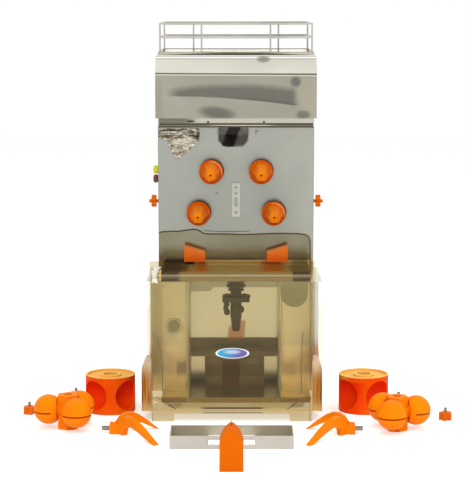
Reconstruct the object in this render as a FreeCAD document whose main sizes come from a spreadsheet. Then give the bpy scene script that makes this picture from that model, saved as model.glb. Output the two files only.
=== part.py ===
"""Automatic orange juicer with its squeezing set laid out in front of it. Millimetres, +Z up, +Y away from the user.
The origin is on the table, in the middle of the whole layout's footprint."""

import FreeCAD, Part
import Sketcher
import math
import os
import re
from FreeCAD import Placement, Rotation, Vector

os.makedirs("parts", exist_ok=True)
doc = FreeCAD.newDocument("orange_juicer")
sheet = doc.addObject("Spreadsheet::Sheet", "Sizes")

# Driving dimensions, one group for each piece or group of pieces
sizes = {
    # sheet metal, clearances and the layout's reach
    "sheet_wall": 2.0, "running_gap": 0.3, "fit_gap": 0.05, "overrun": 5.0, "wedge_reach": 535.0,
    # column
    "column_width": 314.0, "column_depth": 285.0, "column_top": 582.0, "shelf_top": 252.0, "vent_length": 60.0,
    "vent_width": 5.0, "vent_pitch": 14.0, "vent_bottom": 420.0, "inlet_width": 48.0, "inlet_height": 28.0,
    "inlet_bottom": 300.0, "inlet_offset": 70.0, "inlet_depth": 30.0,
    # base
    "foot_height": 12.0, "foot_radius": 14.0, "foot_inset": 26.0, "base_rim": 10.0, "base_inset": 7.0,
    "base_reach": 68.0, "core_width": 169.0, "recess_depth": 86.0, "stand_width": 116.0, "stand_setback": 22.0,
    "stand_height": 76.0,
    # front panel and header strip
    "panel_top": 564.0, "header_lap": 8.0, "screw_radius": 2.6, "screw_head": 1.2, "header_screw_offset": 56.0,
    "knife_plate_width": 16.0, "knife_plate_bottom": 382.0, "knife_plate_top": 451.0, "knife_plate_wall": 4.0,
    "knife_hole_radius": 3.0, "knife_hole_pitch": 12.0, "knife_slot_length": 18.0, "knife_hole_inset": 9.0,
    # squeezing shafts, seals and lock knobs
    "gear_module": 2.5, "upper_teeth": 40.0, "lower_teeth": 30.0, "pinion_teeth": 25.0, "lower_half_span": 75.6,
    "upper_shaft_height": 474.0, "shaft_radius": 8.0, "stud_length": 52.0, "seal_radius": 21.0, "seal_length": 14.0,
    "seal_bore_gap": 1.0, "knob_flange_radius": 24.0, "knob_flange": 10.0, "knob_length": 74.0,
    "knob_root_radius": 22.0, "knob_tip_radius": 11.5, "knob_tip_hole": 2.2, "knob_hole_depth": 9.0,
    # gear case and drive
    "plate_wall": 8.0, "gear_width": 20.0, "gear_gap": 6.0, "bearing_radius": 16.0, "case_inset": 27.0,
    "case_bottom": 318.0, "pillar_radius": 6.0, "pillar_inset": 12.0, "pinion_angle": 45.0, "backlash": 0.3,
    "pinion_shaft_radius": 7.0, "gearbox_radius": 42.0, "gearbox_length": 50.0, "gearbox_bore_depth": 20.0,
    "motor_radius": 38.0, "motor_length": 118.0, "switch_width": 60.0, "switch_depth": 60.0, "switch_height": 70.0,
    "switch_setback": 5.0,
    # hood, feeder and chute
    "hood_proud": 4.0, "hood_overhang": 22.0, "hood_top": 705.0, "hood_lip": 10.0, "hood_slope_height": 33.0,
    "hood_slope_depth": 30.0, "chute_half_width": 32.0, "chute_corner": 20.0, "chute_floor": 523.0,
    "chute_shift": -5.5, "chute_length": 118.0, "chute_rise": 14.0, "drop_radius": 30.0, "drop_distance": 72.0,
    "drop_ring_length": 42.0, "wheel_radius": 112.0, "tub_gap": 4.0, "tub_floor": 640.0, "wheel_hub_radius": 22.0,
    "wheel_height": 46.0, "wheel_blade": 6.0, "wheel_lift": 4.0, "wheel_shaft_radius": 5.0,
    "wheel_shaft_length": 34.0, "feed_motor_radius": 24.0, "feed_motor_length": 40.0,
    # fruit tray and wire basket
    "tray_inset": 4.0, "tray_rim": 8.0, "rail_radius": 2.1, "post_radius": 1.8, "rail_rise": 64.0,
    "rail_drop": 27.0, "rail_corner": 14.0, "rail_setback": 5.0, "rail_depth": 246.0, "rail_inset": 8.0,
    "front_post_offset": 69.0, "back_post_offset": 91.0,
    # controls and side knobs
    "button_radius": 7.5, "button_length": 14.0, "button_proud": 5.0, "button_travel": 3.0, "button_depth": 90.0,
    "start_height": 469.0, "stop_height": 450.0, "star_height": 408.0, "star_depth": 50.0, "star_radius": 8.5,
    "star_lobe_radius": 4.2, "star_thickness": 10.0, "star_stud_radius": 3.5, "star_standoff": 6.0,
    "star_stud_length": 22.0, "star_boss_radius": 7.0, "star_pin_length": 5.0,
    # juice trough and tap
    "trough_inset": 9.0, "trough_depth": 94.0, "trough_bottom": 264.0, "trough_top": 284.0,
    "tap_forward": 70.0, "tap_radius": 11.0, "tap_drop": 62.0, "tap_nut_radius": 15.0, "tap_nut_height": 12.0,
    "tap_spout_length": 42.0, "tap_spout_tip": 6.0, "tap_pivot_drop": 36.0, "tap_pivot_radius": 3.5,
    "tap_pivot_depth": 4.0, "lever_half_width": 27.0, "lever_arm": 5.0, "lever_depth": 8.0, "lever_length": 34.0,
    "tap_bore_radius": 3.5,
    # peel deflectors
    "deflector_offset": 62.0, "deflector_width": 42.0, "deflector_bottom": 296.0, "deflector_outer_height": 29.0,
    "deflector_inner_height": 16.0, "deflector_length": 44.0, "deflector_wall": 4.0,
    # peel bins
    "bin_width": 90.0, "bin_length": 196.0, "bin_height": 226.0, "bin_proud": 3.5, "bin_corner": 13.0,
    "bin_left_pull": 9.0, "bin_right_pull": 0.8, "finger_hole_radius": 14.0,
    "finger_hole_height": 157.0, "finger_grip_in": 33.0, "finger_notch_radius": 28.0,
    "finger_notch_drop": 24.0,
    # front cover
    "cover_shift": -8.0, "cover_depth": 167.0, "cover_height": 291.0,
    "cover_wall": 3.0, "cover_back_gap": 6.0, "cover_flare": 11.5, "arch_inset": 43.7,
    "arch_height": 15.0, "ledge_height": 22.0, "ledge_inset": 48.7, "ledge_depth": 100.0,
    # press drums on the table
    "drum_radius": 49.6, "drum_length": 74.0, "drum_counterbore": 14.0, "counterbore_depth": 14.0,
    "cup_radius": 30.0, "drum_recess_outer": 45.0, "drum_recess_inner": 21.0, "drum_recess_depth": 4.0,
    "ball_radius": 28.5, "ball_height": 37.0, "ball_cut": 21.0, "ball_neck_radius": 14.0, "ball_slot": 3.0,
    "ball_slot_drop": 3.0, "ball_slot_start": 40.0, "hub_lobe": 19.0, "hub_side": 18.0, "hub_length": 66.0,
    # knife wedge
    "wedge_width": 42.0, "wedge_depth": 50.0, "wedge_height": 77.0, "blade_wall": 1.6, "blade_height": 26.0,
    "blade_proud": 2.0, "blade_inset": 6.0,
    # juice strainer tray
    "strainer_width": 228.0, "strainer_depth": 80.0, "strainer_height": 25.0, "strainer_hole_radius": 2.6,
    "strainer_pitch": 14.0, "strainer_grip_width": 88.0, "strainer_grip_height": 9.0, "strainer_reach": 382.0,
    # peel ejector forks
    "fork_block_length": 26.0, "fork_block_width": 24.0, "fork_block_height": 19.0, "fork_arm_wall": 11.0,
    "fork_long": 122.0, "fork_short": 84.0, "fork_arch": 38.0, "fork_long_turn": 50.0, "fork_short_turn": 26.0,
    "fork_stud_radius": 4.5, "fork_stud_length": 15.0, "fork_stud_sink": 8.0,
    # loose knobs
    "loose_radius": 9.0, "loose_height": 15.0, "loose_lobe_radius": 4.0, "loose_stud_radius": 3.0,
    "loose_stud_length": 9.0,
}

# Places of the loose pieces on the table: name, distance out from the column's side, distance along Y, turn in degrees
female_places = (("left", 95.0, 50.0, 5.5), ("right", 99.0, 52.0, -7.9))
male_places = (("left", 165.5, -98.0, 60.0), ("right", 151.0, -112.0, 10.0))
fork_places = (("left", 68.0, -137.0, 1.0), ("right", 54.0, -139.0, -1.0))
loose_places = (("outer_left", 254.0, 16.0), ("inner_left", 173.0, 140.0), ("outer_right", 254.0, -33.0),
                ("inner_right", 175.0, 104.0))
for side, out, away, turn in female_places:
    sizes.update({f"female_{side}_out": out, f"female_{side}_away": away, f"female_{side}_turn": turn})
for side, out, away, turn in male_places:
    sizes.update({f"male_{side}_out": out, f"male_{side}_away": away, f"male_{side}_turn": turn})
for side, out, away, hand in fork_places:
    sizes.update({f"fork_{side}_out": out, f"fork_{side}_away": away})
for spot, out, away in loose_places:
    sizes.update({f"loose_{spot}_out": out, f"loose_{spot}_away": away})

for row, (alias, value) in enumerate(sizes.items(), start=1):
    sheet.set(f"A{row}", alias)
    sheet.set(f"B{row}", str(value))
    sheet.setAlias(f"B{row}", alias)
doc.recompute()

# Places worked out from the driving dimensions
panel = "((wedge_reach - column_depth)/2)"
back = "((wedge_reach + column_depth)/2)"
half = "(column_width/2)"
beside = {side: f"{sign}({half} + %s_out)" for side, sign in (("left", "-"), ("right", ""))}
base_width = "(column_width - 2*base_inset)"
hood_width = "(column_width + 2*hood_proud)"
case_half = f"({half} - case_inset)"
rail_half = f"({hood_width}/2 - rail_inset)"
trough_half = f"({half} - trough_inset)"
cover_half = f"({half} - running_gap)"
arch_half = f"({cover_half} - arch_inset)"
ledge_half = f"({cover_half} - ledge_inset)"
rail_top = "(hood_top + rail_rise)"
rail_levels = (("rail_top", rail_top), ("rail_middle", f"({rail_top} - rail_drop)"))
case_front = f"({panel} + sheet_wall)"
gear_front = f"({case_front} + plate_wall + gear_gap)"
case_rear = f"({gear_front} + gear_width + gear_gap)"
case_back = f"({case_rear} + plate_wall)"
case_top = "chute_floor"
upper_pitch = "(upper_teeth*gear_module/2)"
lower_pitch = "(lower_teeth*gear_module/2)"
shaft_reach = f"({upper_pitch} + {lower_pitch})"
lower_height = f"(upper_shaft_height - sqrt({shaft_reach}^2 - (lower_half_span - {upper_pitch})^2))"
pinion_reach = f"({lower_pitch} + pinion_teeth*gear_module/2)"
pinion_along = f"(lower_half_span - {pinion_reach}*cos(pinion_angle))"
pinion_height = f"({lower_height} - {pinion_reach}*sin(pinion_angle))"
knob_front = f"({panel} - seal_length - running_gap)"
chute_back = f"({panel} + chute_length)"
drop_away = f"({chute_back} - drop_radius)"
wheel_away = f"({drop_away} + drop_distance)"
hood_front = f"({panel} - hood_overhang)"
hood_crease = "(hood_top - hood_slope_height)"
tray_front = f"({hood_front} + hood_slope_depth)"
rail_front = f"({tray_front} + rail_setback)"
base_top = "(foot_height + base_rim)"
base_front = f"({panel} - base_reach)"
tap_away = f"({panel} - tap_forward)"
tap_pivot = "(trough_bottom - tap_pivot_drop)"
cover_rear = f"({panel} - cover_back_gap)"
cover_front = f"({cover_rear} - cover_depth)"
bin_front = f"({panel} - bin_proud)"
bin_bottom = f"({base_top} + running_gap)"

nodes = {}


def bound(text):
    return re.sub(r"[a-z_]+", lambda word: f"Sizes.{word.group()}" if word.group() in sizes else word.group(), text)


def size(text):
    return float(sheet.evalExpression(bound(text)))


def node(label, piece):
    piece.Label = label
    nodes[label] = piece
    return piece


def place(piece, base=("0", "0", "0"), axis=None, turn=None):
    if axis is not None:
        piece.Placement = Placement(Vector(), Rotation(Vector(*axis), 90))
        piece.setExpression("Placement.Rotation.Angle", bound(turn))
    for letter, text in zip("xyz", base):
        piece.setExpression(f"Placement.Base.{letter}", bound(text))
    return piece


def box(name, spans, base):
    piece = doc.addObject("Part::Box", name)
    for side, text in zip(("Length", "Width", "Height"), spans):
        piece.setExpression(side, bound(text))
    return place(piece, base)


directions = {"x": ((0, 1, 0), "90"), "y": ((1, 0, 0), "-90"), "z": (None, None)}


def rod(name, radius, length, base, along="z"):
    piece = doc.addObject("Part::Cylinder", name)
    piece.setExpression("Radius", bound(radius))
    piece.setExpression("Height", bound(length))
    return place(piece, base, *directions[along])


def cone(name, first, second, length, base, along="z"):
    piece = doc.addObject("Part::Cone", name)
    piece.setExpression("Radius1", bound(first))
    piece.setExpression("Radius2", bound(second))
    piece.setExpression("Height", bound(length))
    return place(piece, base, *directions[along])


def laid(piece, base, degrees):
    """A round piece with its own Z axis laid level, to the bearing given from +X towards +Y."""
    level = Vector(math.cos(math.radians(degrees)), math.sin(math.radians(degrees)), 0)
    piece.Placement = Placement(Vector(), Rotation(Vector(0, 0, 1), level))
    return place(piece, base)


def ball(name, radius, base, degrees):
    piece = doc.addObject("Part::Sphere", name)
    piece.setExpression("Radius", bound(radius))
    return laid(piece, base, degrees)


def spoke(name, radius, length, base, degrees):
    piece = doc.addObject("Part::Cylinder", name)
    piece.setExpression("Radius", bound(radius))
    piece.setExpression("Height", bound(length))
    return laid(piece, base, degrees)


def fuse(name, *pieces):
    piece = doc.addObject("Part::MultiFuse", name)
    piece.Shapes = list(pieces)
    piece.Refine = True
    return piece


def group(name, *pieces):
    piece = doc.addObject("Part::Compound", name)
    piece.Links = list(pieces)
    return piece


def cut(name, base, *tools):
    piece = doc.addObject("Part::Cut", name)
    piece.Base = base
    piece.Tool = tools[0] if len(tools) == 1 else fuse(f"{name}_tools", *tools)
    piece.Refine = True
    return piece


def carve(name, base, *tools):
    for number, tool in enumerate(tools):
        base = cut(f"{name}_{number}", base, tool)
    return base


def common(name, *pieces):
    piece = doc.addObject("Part::MultiCommon", name)
    piece.Shapes = list(pieces)
    return piece


def plane(piece, role):
    return next(feature for feature in piece.Origin.OriginFeatures if feature.Role == role)


planes = {"x": ("YZ_Plane", False), "y": ("XZ_Plane", True), "z": ("XY_Plane", False)}


def outline(piece, name, role, points):
    """A closed sketch whose corners are all held from the origin by bound distances."""
    sketch = piece.newObject("Sketcher::SketchObject", name)
    sketch.AttachmentSupport = [(plane(piece, role), "")]
    sketch.MapMode = "FlatFace"
    corners = [Vector(size(along), size(up), 0) for along, up in points]
    for number, corner in enumerate(corners):
        sketch.addGeometry(Part.LineSegment(corner, corners[(number + 1) % len(corners)]), False)
    for number in range(len(corners)):
        sketch.addConstraint(Sketcher.Constraint("Coincident", number, 2, (number + 1) % len(corners), 1))
    for number, corner in enumerate(points):
        for kind, text, line in (("DistanceX", corner[0], -2), ("DistanceY", corner[1], -1)):
            if text == "0":
                sketch.addConstraint(Sketcher.Constraint("PointOnObject", number, 1, line))
            else:
                held = sketch.addConstraint(Sketcher.Constraint(kind, -1, 1, number, 1, size(text)))
                sketch.setExpression(f"Constraints[{held}]", bound(text))
    return sketch


def prism(name, along, points, length, base=("0", "0", "0"), turn=None):
    """A body padded from an outline, towards the positive side of the axis that it runs along."""
    piece = doc.addObject("PartDesign::Body", name)
    role, backwards = planes[along]
    pad = piece.newObject("PartDesign::Pad", f"{name}_pad")
    pad.Profile = outline(piece, f"{name}_outline", role, points)
    pad.setExpression("Length", bound(length))
    pad.Reversed = backwards
    if turn is None:
        return place(piece, base)
    return place(piece, base, (0, 0, 1), turn)


def lathe(name, points, base=("0", "0", "0"), tilt=None):
    """A body turned about its own Z axis from an outline of radius and height."""
    piece = doc.addObject("PartDesign::Body", name)
    turned = piece.newObject("PartDesign::Revolution", f"{name}_turned")
    turned.Profile = outline(piece, f"{name}_outline", "XZ_Plane", points)
    turned.ReferenceAxis = (plane(piece, "Z_Axis"), [""])
    turned.Angle = 360
    if tilt is None:
        return place(piece, base)
    return place(piece, base, *directions[tilt])


def gear_section(teeth, start, turn):
    """The outline of an involute gear across Y, with a tooth centred at the angle given from +X towards +Z."""
    unit = size("gear_module")
    pitch = teeth*unit/2
    pressure = math.radians(20)
    root = pitch*math.cos(pressure)
    low = max(root, pitch - 1.15*unit)
    high = pitch + 0.95*unit
    half_tooth = math.pi/(2*teeth) - size("backlash")/(2*pitch)
    involute_at_pitch = math.tan(pressure) - pressure
    steps = 5
    flank = []
    for step in range(steps):
        radius = low + (high - low)*step/(steps - 1)
        bend = math.acos(min(1, root/radius))
        flank.append((radius, half_tooth + involute_at_pitch - (math.tan(bend) - bend)))
    ring = []
    for tooth in range(int(teeth)):
        middle = turn + 2*math.pi*tooth/teeth
        ring.append((pitch - 1.25*unit, middle - flank[0][1]))
        ring.extend((radius, middle - spread) for radius, spread in flank)
        ring.extend((radius, middle + spread) for radius, spread in reversed(flank))
        ring.append((pitch - 1.25*unit, middle + flank[0][1]))
    points = [Vector(radius*math.cos(angle), start, radius*math.sin(angle)) for radius, angle in ring]
    return Part.Face(Part.makePolygon(points + points[:1]))


def gear(teeth, start, turn, bore):
    wide = size("gear_width")
    blank = gear_section(teeth, start, turn).extrude(Vector(0, wide, 0))
    return blank.cut(Part.makeCylinder(bore, wide, Vector(0, start, 0), Vector(0, 1, 0)))


def shape(name, solids, base):
    piece = doc.addObject("Part::Feature", name)
    piece.Shape = Part.makeCompound(solids) if len(solids) > 1 else solids[0]
    return place(piece, base)


# Base: feet, base tray, housings behind the recess and the bins, shelf under the column, glass stand
feet = []
for number, (across, away) in enumerate((("-1", f"{base_front} + foot_inset"),
                                         ("1", f"{base_front} + foot_inset"),
                                         ("-1", f"{back} - foot_inset"), ("1", f"{back} - foot_inset"))):
    feet.append(rod(f"foot_{number}", "foot_radius", "foot_height + base_rim - sheet_wall",
                    (f"{across}*({base_width}/2 - foot_inset)", away, "0")))
node("rubber_feet", group("feet", *feet))
tray_blank = box("base_blank", (base_width, f"{back} - {base_front}", "base_rim"),
                 (f"-{base_width}/2", base_front, "foot_height"))
tray_hollow = box("base_hollow", (f"{base_width} - 2*sheet_wall", f"{back} - {base_front} - 2*sheet_wall",
                                  "base_rim - sheet_wall + overrun"),
                  (f"sheet_wall - {base_width}/2", f"{base_front} + sheet_wall", "foot_height - overrun"))
node("base_tray", cut("base", tray_blank, tray_hollow))
bay_back = f"({bin_front} + bin_length + running_gap)"
core_blank = box("core_blank", ("core_width", f"{bay_back} - {panel} - recess_depth",
                                f"shelf_top - sheet_wall - {base_top}"),
                 ("-core_width/2", f"{panel} + recess_depth", base_top))
core_hollow = box("core_hollow", ("core_width - 2*sheet_wall",
                                  f"{bay_back} - {panel} - recess_depth - 2*sheet_wall",
                                  f"shelf_top - 3*sheet_wall - {base_top}"),
                  ("sheet_wall - core_width/2", f"{panel} + recess_depth + sheet_wall",
                   f"{base_top} + sheet_wall"))
node("housing_core", cut("core", core_blank, core_hollow))
rear_blank = box("rear_blank", (base_width, f"{back} - {bay_back}", f"shelf_top - sheet_wall - {base_top}"),
                 (f"-{base_width}/2", bay_back, base_top))
rear_hollow = box("rear_hollow", (f"{base_width} - 2*sheet_wall", f"{back} - {bay_back} - 2*sheet_wall",
                                  f"shelf_top - 3*sheet_wall - {base_top}"),
                  (f"sheet_wall - {base_width}/2", f"{bay_back} + sheet_wall", f"{base_top} + sheet_wall"))
node("housing_rear", cut("rear", rear_blank, rear_hollow))
node("shelf_plate", box("shelf", ("column_width", f"{back} - {panel}", "sheet_wall"),
                        (f"-{half}", panel, "shelf_top - sheet_wall")))
node("glass_stand", box("stand", ("stand_width", "recess_depth - stand_setback", "stand_height"),
                        ("-stand_width/2", f"{panel} + stand_setback", base_top)))

# Front panel with the fruit opening and the shaft holes, header strip above it, knife plate on it
slot_low = "(chute_half_width - chute_corner)"


def fruit_slot(name, base, length, top, grow):
    """The U-shaped fruit opening as a solid along Y, grown by the given amount all round."""
    corner = f"(chute_corner + {grow})"
    middle = "(chute_floor + chute_corner)"
    left = rod(f"{name}_left", corner, length, (f"chute_shift - {slot_low}", base, middle), "y")
    right = rod(f"{name}_right", corner, length, (f"chute_shift + {slot_low}", base, middle), "y")
    low = box(f"{name}_low", (f"2*{slot_low}", length, corner),
              (f"chute_shift - {slot_low}", base, f"chute_floor - {grow}"))
    high = box(f"{name}_high", (f"2*(chute_half_width + {grow})", length, f"{top} - {middle}"),
               (f"chute_shift - chute_half_width - {grow}", base, middle))
    return fuse(name, left, right, low, high)


shafts = (("upper_left", f"-{upper_pitch}", "upper_shaft_height"),
          ("upper_right", upper_pitch, "upper_shaft_height"),
          ("lower_left", "-lower_half_span", lower_height), ("lower_right", "lower_half_span", lower_height))
panel_blank = box("panel_blank", ("column_width", "sheet_wall", "panel_top - shelf_top"),
                  (f"-{half}", panel, "shelf_top"))
panel_cuts = [fruit_slot("panel_slot", f"{panel} - overrun", "sheet_wall + 2*overrun",
                         "(panel_top + overrun)", "0")]
for name, along, height in shafts:
    panel_cuts.append(rod(f"panel_hole_{name}", "shaft_radius + seal_bore_gap", "sheet_wall + 2*overrun",
                          (along, f"{panel} - overrun", height), "y"))
node("front_panel", cut("panel", panel_blank, *panel_cuts))
header_blank = box("header_blank", ("column_width - 2*sheet_wall - 2*running_gap", "sheet_wall",
                                    "column_top - panel_top + header_lap"),
                   (f"sheet_wall + running_gap - {half}", case_front, "panel_top - header_lap"))
header_notch = box("header_notch", ("2*chute_half_width", "sheet_wall + 2*overrun", "header_lap + overrun"),
                   ("chute_shift - chute_half_width", f"{case_front} - overrun",
                    "panel_top - header_lap - overrun"))
node("header_strip", cut("header", header_blank, header_notch))
screws = [cone(f"header_screw_{side}", "screw_radius", "screw_radius", "screw_head",
               (f"{side}*header_screw_offset", f"{case_front} - screw_head",
                "(panel_top + column_top)/2"), "y")
          for side in ("-1", "1")]
node("header_screws", group("header_screw_pair", *screws))
plate_middle = "((knife_plate_bottom + knife_plate_top)/2)"
plate_blank = box("knife_plate_blank", ("knife_plate_width", "knife_plate_wall",
                                        "knife_plate_top - knife_plate_bottom"),
                  ("-knife_plate_width/2", f"{panel} - knife_plate_wall", "knife_plate_bottom"))
plate_cuts = []
for name, height in (("upper", "knife_plate_top - knife_hole_inset"),
                     ("second", "knife_plate_top - knife_hole_inset - knife_hole_pitch"),
                     ("lower", "knife_plate_bottom + knife_hole_inset")):
    plate_cuts.append(rod(f"knife_hole_{name}", "knife_hole_radius", "knife_plate_wall + 2*overrun",
                          ("0", f"{panel} - knife_plate_wall - overrun", height), "y"))
plate_cuts.append(box("knife_slot", ("2*knife_hole_radius", "knife_plate_wall + 2*overrun",
                                     "knife_slot_length"),
                      ("-knife_hole_radius", f"{panel} - knife_plate_wall - overrun",
                       "knife_plate_bottom + knife_hole_inset + knife_hole_pitch")))
node("knife_plate", cut("knife_plate_cut", plate_blank, *plate_cuts))

# Column: side panels with their bosses, vented back panel, power inlet, switch box
star_away = f"({panel} + star_depth)"
button_away = f"({panel} + button_depth)"
side_span = ("sheet_wall", f"{back} - sheet_wall - {case_front}", "column_top - shelf_top")
for side, sign in (("left", "-1"), ("right", "1")):
    inner = f"({sign}*({half} - sheet_wall))"
    low = f"-{half}" if side == "left" else f"{half} - sheet_wall"
    boss_low = f"sheet_wall - {half}" if side == "left" else f"{half} - sheet_wall - star_standoff"
    blank = box(f"side_{side}_blank", side_span, (low, case_front, "shelf_top"))
    boss = rod(f"side_{side}_boss", "star_boss_radius", "star_standoff",
               (boss_low, star_away, "star_height"), "x")
    holes = [rod(f"side_{side}_star_hole", "star_stud_radius + fit_gap",
                 "star_standoff + sheet_wall + 2*overrun",
                 (f"{low} - star_standoff - overrun/2" if side == "right" else f"{low} - overrun", star_away,
                  "star_height"), "x")]
    if side == "left":
        for name in ("start", "stop"):
            holes.append(rod(f"side_hole_{name}", "button_radius + running_gap", "sheet_wall + 2*overrun",
                             (f"{low} - overrun", button_away, f"{name}_height"), "x"))
    node(f"side_panel_{side}", cut(f"side_{side}", fuse(f"side_{side}_bossed", blank, boss), *holes))
back_blank = box("back_blank", ("column_width", "sheet_wall", "column_top - shelf_top"),
                 (f"-{half}", f"{back} - sheet_wall", "shelf_top"))
back_cuts = [box("inlet_hole", ("inlet_width + 2*running_gap", "sheet_wall + 2*overrun",
                                "inlet_height + 2*running_gap"),
                 ("inlet_offset - inlet_width/2 - running_gap", f"{back} - sheet_wall - overrun",
                  "inlet_bottom - running_gap"))]
for column in range(-1, 2, 2):
    for step in range(8):
        back_cuts.append(box(f"vent_{column + 2}_{step}",
                             ("vent_length", "sheet_wall + 2*overrun", "vent_width"),
                             (f"{column}*(vent_length/2 + vent_pitch) - vent_length/2",
                              f"{back} - sheet_wall - overrun",
                              f"vent_bottom + {step}*vent_pitch")))
node("back_panel", cut("back", back_blank, *back_cuts))
inlet_blank = box("inlet_blank", ("inlet_width", "inlet_depth", "inlet_height"),
                  ("inlet_offset - inlet_width/2", f"{back} - inlet_depth", "inlet_bottom"))
inlet_mouth = box("inlet_mouth", ("inlet_width*2/3", "inlet_depth*2/3 + overrun", "inlet_height*2/3"),
                  ("inlet_offset - inlet_width/3", f"{back} - inlet_depth*2/3",
                   "inlet_bottom + inlet_height/6"))
node("power_inlet", cut("inlet", inlet_blank, inlet_mouth))
switch_middle = "((start_height + stop_height)/2)"
switch_blank = box("switch_blank", ("switch_width", "switch_depth", "switch_height"),
                   (f"sheet_wall - {half}", f"{button_away} - switch_depth/2 + switch_setback",
                    f"{switch_middle} - switch_height/2"))
switch_bores = [rod(f"switch_bore_{name}", "button_radius + running_gap",
                    "overrun + button_length - button_proud - sheet_wall + button_travel + running_gap",
                    (f"sheet_wall - {half} - overrun", button_away,
                     f"{name}_height"), "x") for name in ("start", "stop")]
node("switch_box", cut("switch", switch_blank, *switch_bores))
for name in ("start", "stop"):
    node(f"{name}_button", rod(f"{name}_cap", "button_radius", "button_length",
                               (f"-{half} - button_proud", button_away, f"{name}_height"), "x"))

# Hood: a folded shell that stands on the column's top edge, open below, with a round hole for the feeder tub
slope_length = "sqrt(hood_slope_height^2 + hood_slope_depth^2)"
tub_inner = "(wheel_radius + tub_gap)"
tub_outer = f"({tub_inner} + sheet_wall)"
hood_blank = prism("hood_blank", "x", ((hood_front, "column_top"), (hood_front, hood_crease),
                                       (tray_front, "hood_top"),
                                       (back, "hood_top"), (back,
                                                            "column_top")), hood_width, (f"-{hood_width}/2",
                                                                                         "0", "0"))
hood_hollow = prism("hood_hollow", "x", (
    (f"{hood_front} + sheet_wall", "column_top + sheet_wall"),
    (f"{hood_front} + sheet_wall",
     f"{hood_crease} + sheet_wall*(hood_slope_height - {slope_length})/hood_slope_depth"),
    (f"{tray_front} + sheet_wall*({slope_length} - hood_slope_depth)/hood_slope_height",
     "hood_top - sheet_wall"),
    (f"{back} - sheet_wall", "hood_top - sheet_wall"), (f"{back} - sheet_wall", "column_top + sheet_wall")),
    f"{hood_width} - 2*sheet_wall", (f"sheet_wall - {hood_width}/2", "0", "0"))
hood_mouth = box("hood_mouth", (f"{hood_width} - 2*hood_lip", f"{back} - {case_front} - 2*hood_lip",
                                "sheet_wall + 2*overrun"),
                 (f"hood_lip - {hood_width}/2", f"{case_front} + hood_lip", "column_top - overrun"))
hood_hole = rod("hood_hole", f"{tub_outer} + running_gap", "sheet_wall + 2*overrun",
                ("0", wheel_away, "hood_top - sheet_wall - overrun"))
node("hood_shell", cut("hood", hood_blank, hood_hollow, hood_mouth, hood_hole))

# Fruit tray with the feeder tub hanging in the hood, its drop ring over the chute, and the feed wheel in it
tray_width = f"({hood_width} - 2*tray_inset)"
tray_length = f"({back} - tray_inset - {tray_front})"
tray_box = box("tray_box", (tray_width, tray_length, "tray_rim"),
               (f"-{tray_width}/2", tray_front, "hood_top"))
tray_room = box("tray_room", (f"{tray_width} - 2*sheet_wall", f"{tray_length} - 2*sheet_wall",
                              "tray_rim + overrun"),
                (f"sheet_wall - {tray_width}/2", f"{tray_front} + sheet_wall", "hood_top + sheet_wall"))
tub_wall = rod("tub_wall", tub_outer, "hood_top - tub_floor + sheet_wall",
               ("0", wheel_away, "tub_floor - sheet_wall"))
drop_ring = rod("drop_ring", "drop_radius + sheet_wall", "drop_ring_length",
                ("chute_shift", drop_away, "tub_floor - drop_ring_length"))
tub_room = rod("tub_room", tub_inner, "hood_top - tub_floor + tray_rim", ("0", wheel_away, "tub_floor"))
drop_hole = rod("drop_hole", "drop_radius", "drop_ring_length + 2*overrun",
                ("chute_shift", drop_away, "tub_floor - drop_ring_length - overrun"))
wheel_hole = rod("wheel_hole", "wheel_shaft_radius + running_gap", "sheet_wall + 2*overrun",
                 ("0", wheel_away, "tub_floor - sheet_wall - overrun"))
node("fruit_tray", cut("tray", fuse("tray_blank", cut("tray_pan", tray_box, tray_room), tub_wall, drop_ring),
                       tub_room, drop_hole, wheel_hole))
wheel_base = "(tub_floor + wheel_lift)"
wheel_parts = [rod("wheel_hub", "wheel_hub_radius", "wheel_height", ("0", wheel_away, wheel_base)),
               rod("wheel_shaft", "wheel_shaft_radius", "wheel_shaft_length + overrun",
                   ("0", wheel_away, f"{wheel_base} - wheel_shaft_length")),
               box("wheel_bar_along", ("2*wheel_radius - wheel_blade", "wheel_blade", "wheel_height"),
                   ("wheel_blade/2 - wheel_radius", f"{wheel_away} - wheel_blade/2", wheel_base)),
               box("wheel_bar_across", ("wheel_blade", "2*wheel_radius - wheel_blade", "wheel_height"),
                   ("-wheel_blade/2", f"{wheel_away} + wheel_blade/2 - wheel_radius", wheel_base))]
node("feed_wheel", fuse("wheel", *wheel_parts))

# Chute from the drop ring down to the opening in the front panel
chute_start = f"({case_front} + running_gap)"
chute_run = f"({chute_back} - {chute_start})"
chute_outer = fruit_slot("chute_outer", chute_start, chute_run, "panel_top - 2*running_gap", "(-running_gap)")
chute_inner = fruit_slot("chute_inner", f"{chute_start} - overrun", f"{chute_run} + overrun - sheet_wall",
                         "(panel_top + overrun)",
                         "(-running_gap - sheet_wall)")
chute_ramp = prism("chute_ramp", "x", ((chute_start, "chute_floor"), (chute_back, "chute_floor"),
                                       (chute_back, "chute_floor + sheet_wall + chute_rise"),
                                       (chute_start, "chute_floor + sheet_wall + running_gap")),
                   "2*chute_half_width", ("chute_shift - chute_half_width", "0", "0"))
node("chute", fuse("chute_shell", cut("chute_open", chute_outer, chute_inner),
                   common("chute_slope", chute_ramp, chute_outer)))

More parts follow.
